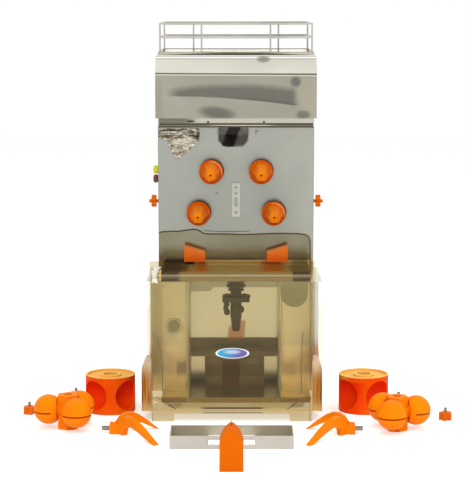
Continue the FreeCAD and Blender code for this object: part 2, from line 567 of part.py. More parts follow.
# Wire basket: two rails on posts, made as four flat grilles
rail_back = f"({rail_front} + rail_depth)"
for end, away, offset in (("front", rail_front, "front_post_offset"),
                          ("back", rail_back, "back_post_offset")):
    wires = []
    for name, level in rail_levels:
        wires.append(rod(f"{end}_{name}", "rail_radius", f"2*({rail_half} - rail_corner)",
                         (f"rail_corner - {rail_half}", away, level), "x"))
    for sign in ("-1", "1"):
        wires.append(rod(f"{end}_post_{sign}", "post_radius", "rail_rise - sheet_wall",
                         (f"{sign}*{offset}", away, "hood_top + sheet_wall")))
    node(f"basket_{end}", fuse(f"{end}_grille", *wires))
for side, sign in (("left", "-1"), ("right", "1")):
    wires = []
    for name, level in rail_levels:
        wires.append(rod(f"{side}_{name}", "rail_radius", "rail_depth - 2*rail_corner",
                         (f"{sign}*{rail_half}", f"{rail_front} + rail_corner", level), "y"))
        for end, away, quarter in (("front", f"{rail_front} + rail_corner",
                                    {"left": 180, "right": 270}[side]),
                                   ("back", f"{rail_back} - rail_corner", {"left": 90, "right": 0}[side])):
            bend = doc.addObject("Part::Torus", f"{side}_{name}_{end}_bend")
            bend.setExpression("Radius1", bound("rail_corner"))
            bend.setExpression("Radius2", bound("rail_radius"))
            bend.Angle3 = 90
            bend.Placement = Placement(Vector(), Rotation(Vector(0, 0, 1), quarter))
            wires.append(place(bend, (f"{sign}*({rail_half} - rail_corner)", away, level)))
    for end, away in (("front", f"{rail_front} + rail_corner"), ("back", f"{rail_back} - rail_corner")):
        wires.append(rod(f"{side}_post_{end}", "post_radius", "rail_rise - sheet_wall",
                         (f"{sign}*{rail_half}", away, "hood_top + sheet_wall")))
    node(f"basket_{side}", fuse(f"{side}_grille", *wires))

# Gear case: two plates on pillars with ring bearings, and the motors
plate_span = (f"2*{case_half}", "plate_wall", f"{case_top} - case_bottom")
case_solids = []
axes = shafts + (("pinion", pinion_along, pinion_height),)
for name, away in (("front", case_front), ("rear", case_rear)):
    blank = box(f"case_{name}_blank", plate_span, (f"-{case_half}", away, "case_bottom"))
    holes = [rod(f"case_{name}_{axis}", "bearing_radius", "plate_wall + 2*overrun",
                 (along, f"{away} - overrun", height), "y")
             for axis, along, height in axes]
    case_solids.append(cut(f"case_{name}", blank, *holes))
    for axis, along, height in axes:
        bore = "pinion_shaft_radius" if axis == "pinion" else "shaft_radius"
        outer = rod(f"ring_{name}_{axis}", "bearing_radius", "plate_wall", (along, away, height), "y")
        inner = rod(f"bore_{name}_{axis}", f"{bore} + fit_gap", "plate_wall + 2*overrun",
                    (along, f"{away} - overrun", height), "y")
        case_solids.append(cut(f"bearing_{name}_{axis}", outer, inner))
for corner, (along, height) in enumerate((("-1", "case_bottom + pillar_inset"),
                                          ("1", "case_bottom + pillar_inset"),
                                          ("-1", f"{case_top} - pillar_inset"), ("1",
                                                                                 f"{case_top} - pillar_inset"))):
    case_solids.append(rod(f"pillar_{corner}", "pillar_radius", f"{case_rear} - {gear_front} + gear_gap",
                           (f"{along}*({case_half} - pillar_inset)", f"{gear_front} - gear_gap",
                            height), "y"))
node("gear_case", group("case", *case_solids))
gearbox_blank = rod("gearbox_blank", "gearbox_radius", "gearbox_length",
                    (pinion_along, case_back, pinion_height), "y")
gearbox_bore = rod("gearbox_bore", "pinion_shaft_radius + fit_gap",
                   "gearbox_bore_depth + running_gap + overrun",
                   (pinion_along, f"{case_back} - overrun", pinion_height), "y")
motor = rod("motor", "motor_radius", "motor_length", (pinion_along, f"{case_back} + gearbox_length",
                                                      pinion_height), "y")
feed_blank = rod("feed_motor_blank", "feed_motor_radius", "feed_motor_length",
                 ("0", wheel_away, "tub_floor - sheet_wall - feed_motor_length"))
feed_bore = rod("feed_motor_bore", "wheel_shaft_radius + fit_gap", "wheel_shaft_length + overrun",
                ("0", wheel_away, f"{wheel_base} - wheel_shaft_length - running_gap"))
node("drive_motors", group("motors", fuse("main_motor", cut("gearbox", gearbox_blank, gearbox_bore), motor),
                           cut("feed_motor", feed_blank, feed_bore)))

# Squeezing shafts with their gears: four cups above meet three balls below, so the gears have 40 and 30 teeth
axis_points = {name: Vector(size(along), 0, size(height)) for name, along, height in axes}


def bearing_of(start, end):
    run = axis_points[end] - axis_points[start]
    return math.atan2(run.z, run.x)


def meshed(turn, own, start, end, other):
    """The turn of the gear at the end that meets the gear at the start, which is turned as given."""
    towards = bearing_of(start, end)
    return towards + math.pi - (turn - towards)*own/other + math.pi/other


upper, lower, small = size("upper_teeth"), size("lower_teeth"), size("pinion_teeth")
phases = {"upper_left": bearing_of("upper_left", "lower_left")}
phases["upper_right"] = meshed(phases["upper_left"], upper, "upper_left", "upper_right", upper)
phases["lower_left"] = meshed(phases["upper_left"], upper, "upper_left", "lower_left", lower)
phases["lower_right"] = meshed(phases["upper_right"], upper, "upper_right", "lower_right", lower)
shaft_length = f"({case_back} - {knob_front} + stud_length)"
for name, along, height in shafts:
    teeth = upper if name.startswith("upper") else lower
    gears = shape(f"gears_{name}", [gear(teeth, size(gear_front), phases[name], size("shaft_radius"))],
                  (along, "0", height))
    core = rod(f"core_{name}", "shaft_radius", shaft_length, (along, f"{knob_front} - stud_length", height),
               "y")
    node(f"shaft_{name}", group(f"shaft_set_{name}", core, gears))
pinion_turn = meshed(phases["lower_right"], lower, "lower_right", "pinion", small)
pinion_gear = shape("pinion_gear", [gear(small, size(gear_front), pinion_turn, size("pinion_shaft_radius"))],
                    (pinion_along, "0", pinion_height))
pinion_core = rod("pinion_core", "pinion_shaft_radius", f"{case_back} + gearbox_bore_depth - {case_front}",
                  (pinion_along, case_front, pinion_height), "y")
node("pinion", group("pinion_set", pinion_core, pinion_gear))
seals = [cut(f"seal_{name}", rod(f"seal_{name}_ring", "seal_radius", "seal_length",
                                 (along, f"{panel} - seal_length", height), "y"),
             rod(f"seal_{name}_bore", "shaft_radius + fit_gap", "seal_length + 2*overrun",
                 (along, f"{panel} - seal_length - overrun", height), "y")) for name, along, height in shafts]
node("shaft_seals", group("seals", *seals))

# Lock knobs: a flange and a six-ridged cone on each shaft end
knob_turns = {"upper_left": 12, "upper_right": -8, "lower_left": 0, "lower_right": 3}
for name, along, height in shafts:
    rings = []
    for end, radius, up in (("root", "knob_root_radius", "knob_flange"),
                            ("tip", "knob_tip_radius", "knob_length")):
        ring = doc.addObject("Part::RegularPolygon", f"knob_{name}_{end}")
        ring.Polygon = 6
        ring.setExpression("Circumradius", bound(radius))
        ring.Placement = Placement(Vector(), Rotation(Vector(0, 0, 1), knob_turns[name]))
        rings.append(place(ring, ("0", "0", up)))
    ridged = doc.addObject("Part::Loft", f"knob_{name}_cone")
    ridged.Sections = rings
    ridged.Solid = True
    ridged.Ruled = True
    flange = rod(f"knob_{name}_flange", "knob_flange_radius", "knob_flange", ("0", "0", "0"))
    bore = rod(f"knob_{name}_bore", "shaft_radius + fit_gap", "overrun + stud_length + running_gap",
               ("0", "0", "-overrun"))
    tip = rod(f"knob_{name}_tip_hole", "knob_tip_hole", "knob_hole_depth + overrun",
              ("0", "0", "knob_length - knob_hole_depth"))
    knob = cut(f"knob_{name}", fuse(f"knob_{name}_blank", flange, ridged), bore, tip)
    node(f"lock_knob_{name}", place(knob, (along, knob_front, height), (1, 0, 0), "90"))

# Side star knobs with their studs
for side, sign in (("left", "-1"), ("right", "1")):
    disc_low = f"({sign}*({half} + star_standoff + star_thickness/2) - star_thickness/2)"
    parts = [rod(f"star_{side}_disc", "star_radius", "star_thickness", (disc_low, star_away, "star_height"),
                 "x")]
    for lobe in range(5):
        parts.append(rod(f"star_{side}_lobe_{lobe}", "star_lobe_radius", "star_thickness",
                         (disc_low, f"{star_away} + star_radius*cos({72*lobe})",
                          f"star_height + star_radius*sin({72*lobe})"), "x"))
    stud_length = "(star_stud_length + star_thickness + star_pin_length)"
    stud_middle = f"({sign}*({half} + star_standoff + star_thickness + star_pin_length - {stud_length}/2))"
    parts.append(rod(f"star_{side}_stud", "star_stud_radius", stud_length,
                     (f"{stud_middle} - {stud_length}/2", star_away, "star_height"), "x"))
    node(f"star_knob_{side}", fuse(f"star_{side}", *parts))

# Juice trough under the press, the tap that hangs from it and the tap's lever
trough_front = f"({panel} - trough_depth)"
trough_blank = box("trough_blank", (f"2*{trough_half}", "trough_depth", "trough_top - trough_bottom"),
                   (f"-{trough_half}", trough_front, "trough_bottom"))
trough_room = box("trough_room", (f"2*{trough_half} - 2*sheet_wall", "trough_depth - 2*sheet_wall",
                                  "trough_top - trough_bottom + overrun"),
                  (f"sheet_wall - {trough_half}", f"{trough_front} + sheet_wall",
                   "trough_bottom + sheet_wall"))
trough_drain = rod("trough_drain", "tap_bore_radius", "sheet_wall + 2*overrun",
                   ("0", tap_away, "trough_bottom - overrun"))
node("juice_trough", cut("trough", trough_blank, trough_room, trough_drain))
tap_profile = (("tap_bore_radius", "0"), ("tap_nut_radius", "0"), ("tap_nut_radius", "-tap_nut_height"),
               ("tap_radius", "-tap_nut_height"), ("tap_radius", "-tap_drop"),
               ("tap_spout_tip", "-tap_drop - tap_spout_length"), ("tap_bore_radius",
                                                                   "-tap_drop - tap_spout_length"))
tap_turned = lathe("tap_turned", tap_profile, ("0", tap_away, "trough_bottom"))
pivot_holes = [rod(f"pivot_hole_{side}", "tap_pivot_radius + fit_gap",
                   "tap_pivot_depth + running_gap + overrun",
                   (base, tap_away, tap_pivot), "x")
               for side, base in (("left", "-tap_radius - overrun"),
                                  ("right", "tap_radius - tap_pivot_depth - running_gap"))]
node("tap_body", cut("tap", tap_turned, *pivot_holes))
cheek = "(tap_radius + running_gap)"
lever_parts = []
for side, inner in (("left", f"-{cheek} - lever_arm"), ("right", cheek)):
    lever_parts.append(box(f"lever_cheek_{side}", ("lever_arm", "lever_length + lever_depth", "lever_depth"),
                           (inner, f"{tap_away} - lever_length", f"{tap_pivot} - lever_depth/2")))
    pin = f"-{cheek} - lever_arm/2" if side == "left" else "tap_radius - tap_pivot_depth"
    lever_parts.append(rod(f"lever_pin_{side}", "tap_pivot_radius",
                           "tap_pivot_depth + running_gap + lever_arm/2",
                           (pin, tap_away, tap_pivot), "x"))
lever_parts.append(box("lever_bar", ("2*lever_half_width", "lever_depth", "lever_depth"),
                       ("-lever_half_width", f"{tap_away} - lever_length", f"{tap_pivot} - lever_depth/2")))
node("tap_lever", fuse("lever", *lever_parts))

# Peel deflectors on the panel: slanted shells with a closed front, open below
for side, sign in (("left", "-1"), ("right", "1")):
    near, far = f"{sign}*deflector_offset", f"{sign}*(deflector_offset + deflector_width)"
    solid = prism(f"deflector_{side}_blank", "y", ((near, "0"), (far, "0"), (far, "deflector_outer_height"),
                                                   (near, "deflector_inner_height")),
                  "deflector_length", ("0", f"{panel} - deflector_length", "deflector_bottom"))
    room_near = f"{sign}*(deflector_offset + deflector_wall)"
    room_far = f"{sign}*(deflector_offset + deflector_width - deflector_wall)"
    room = prism(f"deflector_{side}_room", "y", ((room_near, "-overrun"), (room_far, "-overrun"),
                                                 (room_far, "deflector_outer_height - deflector_wall*3/2"),
                                                 (room_near, "deflector_inner_height - deflector_wall")),
                 "deflector_length - 2*deflector_wall",
                 ("0", f"{panel} - deflector_length + deflector_wall", "deflector_bottom"))
    node(f"peel_deflector_{side}", cut(f"deflector_{side}", solid, room))

# Peel bins with rounded uprights: they slide out sideways from under the column
for side, sign in (("left", "-1"), ("right", "1")):
    inner = f"(core_width/2 + bin_{side}_pull)"
    low = f"(-{inner} - bin_width)" if side == "left" else inner
    solids = []
    for name, inset, floor, height in (("outer", "0", bin_bottom, "bin_height"),
                                       ("room", "sheet_wall", f"({bin_bottom} + sheet_wall)",
                                        "bin_height + overrun")):
        corner = f"(bin_corner - {inset})"
        uprights = [rod(f"bin_{side}_{name}_{end}", corner, height,
                        (f"{low} + {along}", f"{bin_front} + bin_corner", floor))
                    for end, along in (("near", "bin_corner"), ("far", "bin_width - bin_corner"))]
        wide = box(f"bin_{side}_{name}_wide", (f"bin_width - 2*{inset}",
                                               f"bin_length - bin_corner - {inset}", height),
                   (f"{low} + {inset}", f"{bin_front} + bin_corner", floor))
        deep = box(f"bin_{side}_{name}_deep", ("bin_width - 2*bin_corner", f"bin_length - 2*{inset}", height),
                   (f"{low} + bin_corner", f"{bin_front} + {inset}", floor))
        solids.append(fuse(f"bin_{side}_{name}", wide, deep, *uprights))
    if side == "left":
        grip = rod("bin_finger_hole", "finger_hole_radius", "sheet_wall + 2*overrun",
                   (f"{low} + bin_width - finger_grip_in", f"{bin_front} - overrun", "finger_hole_height"), "y")
    else:
        notch_middle = f"({bin_bottom} + bin_height - finger_notch_drop)"
        grip = fuse("bin_finger_notch",
                    rod("bin_notch_round", "finger_notch_radius", "sheet_wall + 2*overrun",
                        (f"{low} + finger_grip_in", f"{bin_front} - overrun", notch_middle), "y"),
                    box("bin_notch_throat", ("2*finger_notch_radius", "sheet_wall + 2*overrun",
                                             "finger_notch_drop + overrun"),
                        (f"{low} + finger_grip_in - finger_notch_radius", f"{bin_front} - overrun",
                         notch_middle)))
    node(f"peel_bin_{side}", cut(f"bin_{side}", solids[0], solids[1], grip))

# Front cover standing on its own lower edge: top, front and flared sides, with an arch and a ledge below
rear_half = f"({cover_half} + cover_flare)"
wall_slope = "(cover_flare/cover_depth)"
cover_blank = prism("cover_blank", "z", ((f"-{cover_half}", "0"), (cover_half, "0"),
                                         (rear_half, "cover_depth"),
                                         (f"-{rear_half}", "cover_depth")), "cover_height", ("cover_shift",
                                                                                             cover_front, "0"))
room_front = f"({cover_half} - cover_wall + cover_wall*{wall_slope})"
room_rear = f"({rear_half} - cover_wall + overrun*{wall_slope})"
cover_room = prism("cover_room", "z", ((f"-{room_front}", "cover_wall"), (room_front, "cover_wall"),
                                       (room_rear, "cover_depth + overrun"), (f"-{room_rear}",
                                                                              "cover_depth + overrun")),
                   "cover_height - cover_wall + overrun", ("cover_shift", cover_front, "-overrun"))
cover_arch = box("cover_arch", (f"2*{arch_half}", "cover_wall + 2*overrun", "arch_height + overrun"),
                 (f"cover_shift - {arch_half}", f"{cover_front} - overrun", "-overrun"))
ledge_rear = f"({room_front} + (ledge_depth - cover_wall)*{wall_slope})"
cover_ledge = prism("cover_ledge", "z", ((f"-{ledge_half}", "0"), (ledge_half, "0"),
                                         (ledge_rear, "ledge_depth*9/10"),
                                         (ledge_rear, "ledge_depth"), (f"-{ledge_rear}", "ledge_depth"),
                                         (f"-{ledge_rear}", "ledge_depth*9/10")),
                    "cover_wall", ("cover_shift", f"{cover_front} + cover_wall", "ledge_height"))
node("front_cover", fuse("cover", cut("cover_open", cover_blank, cover_room, cover_arch), cover_ledge))

# Press drums with four cups, standing on the table
for side, out, away, turn in female_places:
    solid = rod(f"female_{side}_blank", "drum_radius", "drum_length", ("0", "0", "0"))
    tools = [rod(f"female_{side}_bore", "shaft_radius + fit_gap", "drum_length + 2*overrun",
                 ("0", "0", "-overrun")),
             rod(f"female_{side}_counterbore", "drum_counterbore", "counterbore_depth + overrun",
                 ("0", "0", "drum_length - counterbore_depth")),
             cut(f"female_{side}_dish",
                 rod(f"female_{side}_dish_outer", "drum_recess_outer", "drum_recess_depth + overrun",
                     ("0", "0", "drum_length - drum_recess_depth")),
                 rod(f"female_{side}_dish_inner", "drum_recess_inner", "drum_recess_depth + 2*overrun",
                     ("0", "0", "drum_length - drum_recess_depth - overrun")))]
    for cup in range(4):
        middle = (f"{upper_pitch}*cos({90*cup + 45})", f"{upper_pitch}*sin({90*cup + 45})", "drum_length/2")
        tools.append(ball(f"female_{side}_cup_{cup}", "cup_radius", middle, 90*cup + 45))
    drum = carve(f"female_{side}", solid, *tools)
    node(f"cup_drum_{side}", place(drum, (beside[side] % f"female_{side}", f"female_{side}_away", "0"),
                                   (0, 0, 1), f"female_{side}_turn"))

# Press drums with three slotted balls round a six-sided hub
hub_width = "((hub_side - hub_lobe*cos(60))/sin(60))"
hub_corners = []
for turn in (0, 120, 240):
    for across in ("-", ""):
        hub_corners.append((f"hub_lobe*cos({turn}) - {across}{hub_width}*sin({turn})",
                            f"hub_lobe*sin({turn}) + {across}{hub_width}*cos({turn})"))
block_corners = [(f"2*ball_cut*cos({turn})", f"2*ball_cut*sin({turn})") for turn in (60, 180, 300)]
for side, out, away, turn in male_places:
    solids = [prism(f"male_{side}_hub", "z", hub_corners, "hub_length")]
    cuts = [rod(f"male_{side}_bore", "shaft_radius + fit_gap", "hub_length + 2*overrun",
                ("0", "0", "-overrun")),
            cut(f"male_{side}_slot",
                rod(f"male_{side}_slot_outer", f"{lower_pitch} + ball_radius + overrun", "ball_slot",
                    ("0", "0", "ball_height - ball_slot_drop - ball_slot/2")),
                rod(f"male_{side}_slot_inner", "ball_slot_start", "ball_slot + 2*overrun",
                    ("0", "0", "ball_height - ball_slot_drop - ball_slot/2 - overrun")))]
    block = prism(f"male_{side}_block", "z", block_corners, "4*ball_radius",
                  ("0", "0", "ball_height - 2*ball_radius"))
    for number, turned in enumerate((0, 120, 240)):
        middle = (f"{lower_pitch}*cos({turned})", f"{lower_pitch}*sin({turned})", "ball_height")
        solids.append(cut(f"male_{side}_cap_{number}", ball(f"male_{side}_ball_{number}", "ball_radius",
                                                            middle, turned), block))
        solids.append(spoke(f"male_{side}_neck_{number}", "ball_neck_radius", "ball_cut + sheet_wall",
                            ("0", "0", "ball_height"), turned))
    drum = cut(f"male_{side}", fuse(f"male_{side}_solid", *solids), *cuts)
    node(f"ball_drum_{side}", place(drum, (beside[side] % f"male_{side}", f"male_{side}_away", "0"),
                                    (0, 0, 1), f"male_{side}_turn"))

# Knife wedge: a pointed arch in front view, with the knife let into its crown
wedge_front = f"({panel} - wedge_reach)"
arch_shares = ((1.0, 0.0), (1.0, 0.6), (0.93, 0.7), (0.76, 0.81), (0.5, 0.91), (0.2, 0.985), (0.0, 1.0))
arch_right = [(f"{across}*wedge_width/2" if across else "0", f"{up}*wedge_height" if up else "0") for across,
              up in arch_shares]
arch_left = [(f"-{along}", height) for along, height in reversed(arch_right[:-1])]
wedge_blank = prism("wedge_blank", "y", arch_right + arch_left, "wedge_depth",
                    ("cover_shift", wedge_front, "0"))
blade_low = "(wedge_height + blade_proud - blade_height)"
wedge_slot = box("wedge_slot", ("blade_wall + 2*fit_gap", "wedge_depth", "blade_height + overrun"),
                 ("cover_shift - blade_wall/2 - fit_gap", f"{wedge_front} + blade_inset", blade_low))
node("knife_wedge", cut("wedge", wedge_blank, wedge_slot))
node("knife_blade", box("blade", ("blade_wall", "wedge_depth - blade_inset", "blade_height"),
                        ("cover_shift - blade_wall/2", f"{wedge_front} + blade_inset", blade_low)))

# Juice strainer tray with a pierced floor and a grip slot
strainer_front = f"({panel} - strainer_reach)"
strainer_blank = box("strainer_blank", ("strainer_width", "strainer_depth", "strainer_height"),
                     ("cover_shift - strainer_width/2", strainer_front, "0"))
strainer_room = box("strainer_room", ("strainer_width - 2*sheet_wall", "strainer_depth - 2*sheet_wall",
                                      "strainer_height + overrun"),
                    ("cover_shift + sheet_wall - strainer_width/2", f"{strainer_front} + sheet_wall",
                     "sheet_wall"))
strainer_grip = box("strainer_grip", ("strainer_grip_width", "sheet_wall + 2*overrun",
                                      "strainer_grip_height"),
                    ("cover_shift - strainer_grip_width/2", f"{strainer_front} - overrun",
                     "(strainer_height - strainer_grip_height)/2"))
strainer_cuts = [strainer_room, strainer_grip]
for column in range(-6, 7):
    for row in range(-1, 2):
        strainer_cuts.append(rod(f"strainer_hole_{column + 6}_{row + 1}", "strainer_hole_radius",
                                 "sheet_wall + 2*overrun",
                                 (f"cover_shift + {column}*strainer_pitch",
                                  f"{strainer_front} + strainer_depth/2 + {row}*strainer_pitch",
                                  "-overrun")))
node("strainer_tray", cut("strainer", strainer_blank, *strainer_cuts))

# Peel ejector forks: an arched beam from a block to a long tine and a short one, with a threaded stud in the block
tine_shares = ((0.0, 0.0), (0.0, 0.62), (0.08, 0.88), (0.2, 1.0), (0.36, 1.0), (0.52, 0.84), (0.72, 0.52),
               (0.88, 0.22), (1.0, 0.0), (0.94, 0.0), (0.74, 0.22), (0.56, 0.42), (0.4, 0.54),
               (0.3, 0.5), (0.22, 0.34), (0.19, 0.0))
for side, out, away, hand in fork_places:
    tines = []
    for name, turn in (("long", "fork_long_turn"), ("short", "fork_short_turn")):
        points = [(f"{reach}*fork_{name}" if reach else "0", f"{rise}*fork_arch" if rise else "0") for reach,
                  rise in tine_shares]
        angle = f"{'-' if name == 'long' else ''}{turn}"
        angle = angle if hand > 0 else f"180 - ({angle})"
        tine = prism(f"fork_{side}_{name}", "y", points, "fork_arm_wall", ("0", "0", "0"))
        tines.append(tine)
        tine.Placement = Placement(Vector(), Rotation(Vector(0, 0, 1), size(angle)))
        place(tine, (f"fork_arm_wall/2*sin({angle})", f"-fork_arm_wall/2*cos({angle})", "0"))
        tine.setExpression("Placement.Rotation.Angle", bound(angle))
    block_low = "-fork_block_length + fork_arm_wall" if hand > 0 else "-fork_arm_wall"
    block = box(f"fork_{side}_block", ("fork_block_length", "fork_block_width", "fork_block_height"),
                (block_low, "-fork_block_width/2", "0"))
    stud_low = ("-fork_block_length + fork_arm_wall - fork_stud_length" if hand > 0
                else "fork_block_length - fork_arm_wall - fork_stud_sink")
    stud = rod(f"fork_{side}_stud", "fork_stud_radius", "fork_stud_length + fork_stud_sink",
               (stud_low, "0", "fork_block_height/2"), "x")
    node(f"ejector_fork_{side}", place(fuse(f"fork_{side}", *tines, block, stud),
                                       (beside[side] % f"fork_{side}", f"fork_{side}_away", "0")))

# Loose knobs, each standing on its lobed head with the stud upwards
for spot, out, away in loose_places:
    side = spot.split("_")[1]
    parts = [rod(f"loose_{spot}_head", "loose_radius", "loose_height", ("0", "0", "0"))]
    for lobe in range(5):
        turned = 72*lobe + (36 if side == "right" else 0)
        parts.append(rod(f"loose_{spot}_lobe_{lobe}", "loose_lobe_radius", "loose_height",
                         (f"loose_radius*cos({turned})", f"loose_radius*sin({turned})", "0")))
    parts.append(rod(f"loose_{spot}_stud", "loose_stud_radius", "loose_stud_length + overrun",
                     ("0", "0", "loose_height - overrun")))
    node(f"loose_knob_{spot}", place(fuse(f"loose_{spot}", *parts),
                                     (beside[side] % f"loose_{spot}", f"loose_{spot}_away", "0")))

doc.recompute()
faults = [item.Label for item in doc.Objects if "Invalid" in item.State or "Error" in item.State]
if faults:
    raise SystemExit(f"objects that failed: {', '.join(faults)}")
low, high = Vector(1e9, 1e9, 1e9), Vector(-1e9, -1e9, -1e9)
for label, piece in nodes.items():
    form = piece.Shape
    if form.isNull() or not form.isValid() or not form.Solids:
        raise SystemExit(f"{label} has no valid solid")
    bounds = form.BoundBox
    low = Vector(min(low.x, bounds.XMin), min(low.y, bounds.YMin), min(low.z, bounds.ZMin))
    high = Vector(max(high.x, bounds.XMax), max(high.y, bounds.YMax), max(high.z, bounds.ZMax))
    print(f"{label}: {len(form.Solids)} solids, {form.Volume/1000:.1f} cm3, x {bounds.XMin:.1f} {bounds.XMax:.1f}, "
          f"y {bounds.YMin:.1f} {bounds.YMax:.1f}, z {bounds.ZMin:.1f} {bounds.ZMax:.1f}")
for label, piece in nodes.items():
    piece.Shape.exportStep(f"parts/{label}.step")
print(f"{len(nodes)} nodes, from {low} to {high}")
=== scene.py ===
import math

import bpy
from mathutils import Matrix, Vector, noise


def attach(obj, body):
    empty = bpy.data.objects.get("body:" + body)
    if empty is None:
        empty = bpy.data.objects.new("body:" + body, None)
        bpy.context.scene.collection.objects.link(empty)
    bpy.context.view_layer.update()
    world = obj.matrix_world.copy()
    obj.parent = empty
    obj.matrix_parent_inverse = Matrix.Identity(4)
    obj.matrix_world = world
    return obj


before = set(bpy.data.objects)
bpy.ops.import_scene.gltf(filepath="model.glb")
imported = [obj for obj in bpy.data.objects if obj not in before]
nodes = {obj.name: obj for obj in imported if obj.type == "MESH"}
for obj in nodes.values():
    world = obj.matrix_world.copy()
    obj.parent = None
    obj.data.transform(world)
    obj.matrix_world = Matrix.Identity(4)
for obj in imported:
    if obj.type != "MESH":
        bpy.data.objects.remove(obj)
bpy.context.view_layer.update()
print("frame loaded,", len(nodes), "CAD nodes")

black = (0.0, 0.0, 0.0, 1.0)


def newObject(name, data):
    made = bpy.data.objects.new(name, data)
    bpy.context.scene.collection.objects.link(made)
    return made


def tone(red, green, blue):  # a colour written as 0 to 255, in the shader's own linear values
    def linear(v):
        v /= 255
        return v / 12.92 if v <= 0.04045 else ((v + 0.055) / 1.055) ** 2.4
    return (linear(red), linear(green), linear(blue), 1.0)


# shader maths as expressions

class Link:
    def __init__(self, finish, socket):
        self.finish = finish
        self.socket = socket

    def work(self, operation, *values):
        return self.finish.add("ShaderNodeMath", {"operation": operation}, dict(enumerate(values)))

    def __add__(self, other):
        return self.work("ADD", self, other)

    def __sub__(self, other):
        return self.work("SUBTRACT", self, other)

    def __rsub__(self, other):
        return self.work("SUBTRACT", other, self)

    def __mul__(self, other):
        return self.work("MULTIPLY", self, other)

    def __abs__(self):
        return self.work("ABSOLUTE", self)

    def most(self, other):
        return self.work("MAXIMUM", self, other)

    def least(self, other):
        return self.work("MINIMUM", self, other)

    def above(self, edge, soft):  # 0 below the edge and 1 above it, with a soft step between
        return self.finish.add("ShaderNodeMapRange", {"interpolation_type": "SMOOTHSTEP"},
                               {"Value": self, "From Min": edge - soft, "From Max": edge + soft})

    def below(self, edge, soft):
        return 1 - self.above(edge, soft)

    def between(self, low, high, soft):
        return self.above(low, soft) * self.below(high, soft)

    def near(self, place, half, soft):  # 1 up to half a width away from the place
        return abs(self - place).below(half, soft)


def away(x, z, centre, squash):  # squared distance from a centre, scaled along both axes to make an oval
    dx, dz = x - centre[0], z - centre[1]
    return dx * dx * squash[0] + dz * dz * squash[1]


class Finish:
    def __init__(self, name):
        self.material = bpy.data.materials.new(name)
        self.material.use_nodes = True
        self.start(self.material.node_tree, "ShaderNodeOutputMaterial")

    @classmethod
    def around(cls, tree, kind):  # the same tools on a tree that isn't a material's, such as the world's
        made = cls.__new__(cls)
        made.material = None
        made.start(tree, kind)
        return made

    def start(self, tree, kind):
        self.tree = tree
        self.tree.nodes.clear()
        self.output = self.tree.nodes.new(kind)
        self.place = None
        self.colour = None

    def put(self, socket, value):
        if isinstance(value, Link):
            self.tree.links.new(value.socket, socket)
        else:
            socket.default_value = value

    def add(self, kind, settings=None, values=None, out=0):
        node = self.tree.nodes.new(kind)
        for key, value in (settings or {}).items():
            setattr(node, key, value)
        for key, value in (values or {}).items():
            self.put(node.inputs[key], value)
        return Link(self, node.outputs[out])

    def where(self):  # the place on the object, in metres of the row frame
        if self.place is None:
            self.place = self.add("ShaderNodeTexCoord", out="Object")
        return self.place

    def split(self, vector):
        node = self.tree.nodes.new("ShaderNodeSeparateXYZ")
        self.put(node.inputs[0], vector)
        return [Link(self, out) for out in node.outputs]

    def axes(self):
        return self.split(self.where())

    def facing(self):
        return self.split(self.add("ShaderNodeTexCoord", out="Normal"))

    def squeeze(self, stretch):  # coordinates scaled by a vector, so that noise runs along one way
        return self.add("ShaderNodeVectorMath", {"operation": "MULTIPLY"}, {0: self.where(), 1: stretch})

    def noise(self, scale, detail, rough, warp=0.0, at=None):
        return self.add("ShaderNodeTexNoise", values={"Vector": at or self.where(), "Scale": scale, "Detail": detail,
                                                      "Roughness": rough, "Distortion": warp}, out="Fac")

    def brushing(self, streak):  # fine lines along X or Z
        along = (6.0, 240.0, 240.0) if streak == "X" else (240.0, 240.0, 6.0)
        return self.noise(4.0, 2.0, 0.6, 0.0, self.squeeze(along))

    def dents(self, height, distance, strength, normal=None):
        values = {"Height": height, "Distance": distance, "Strength": strength}
        if normal:
            values["Normal"] = normal
        return self.add("ShaderNodeBump", values=values)

    def scored(self, brushed, under=None):  # the shallow lines that brushing leaves
        return self.dents(brushed, 0.00004, 0.2, under)

    def grain(self, distance=0.00005, strength=0.5):  # the fine grain of moulded plastic
        return self.dents(self.noise(900.0, 2.0, 0.5), distance, strength)

    def mix(self, mask, first, second):
        return self.add("ShaderNodeMix", {"data_type": "RGBA", "clamp_factor": True},
                        {"Factor": mask, 6: first, 7: second}, out=2)

    def ground(self, cloud, first, second, soft=0.2, edge=0.5):  # the colour to start from: two tones, parted by a noise
        self.colour = self.mix(cloud.above(edge, soft), tone(*first), tone(*second))

    def lay(self, mask, colour):
        self.colour = self.mix(mask, self.colour, colour)

    def paint(self, mask, *shade):  # a tone laid over the colour where the mask is 1
        self.lay(mask, tone(*shade))

    def surface(self, **values):
        names = {"colour": "Base Color", "metal": "Metallic", "rough": "Roughness", "normal": "Normal",
                 "glow": "Emission Color", "glowStrength": "Emission Strength", "specular": "Specular IOR Level"}
        values = {"colour": self.colour, **values}
        return self.add("ShaderNodeBsdfPrincipled", values={names[key]: value for key, value in values.items()})

    def done(self, shader):
        self.tree.links.new(shader.socket, self.output.inputs["Surface"])
        return self.material

    def blended(self, share, first, second):  # two shaders, with the second one's share
        return self.done(self.add("ShaderNodeMixShader", values={0: share, 1: first, 2: second}))

    def finished(self, **values):  # the usual end, with a single shader
        return self.done(self.surface(**values))


# plain finishes

steel = {"ripple": 5.0, "rippleDepth": 0.004, "roughSpread": 0.06}


def rippledSteel(made, rough, ripple=1.0):
    brushed = made.brushing("X")
    waves = made.dents(made.noise(steel["ripple"], 1.0, 0.4), steel["rippleDepth"] * ripple, 0.35)
    return made.finished(metal=1.0, rough=brushed * steel["roughSpread"] + rough, normal=made.scored(brushed, waves))


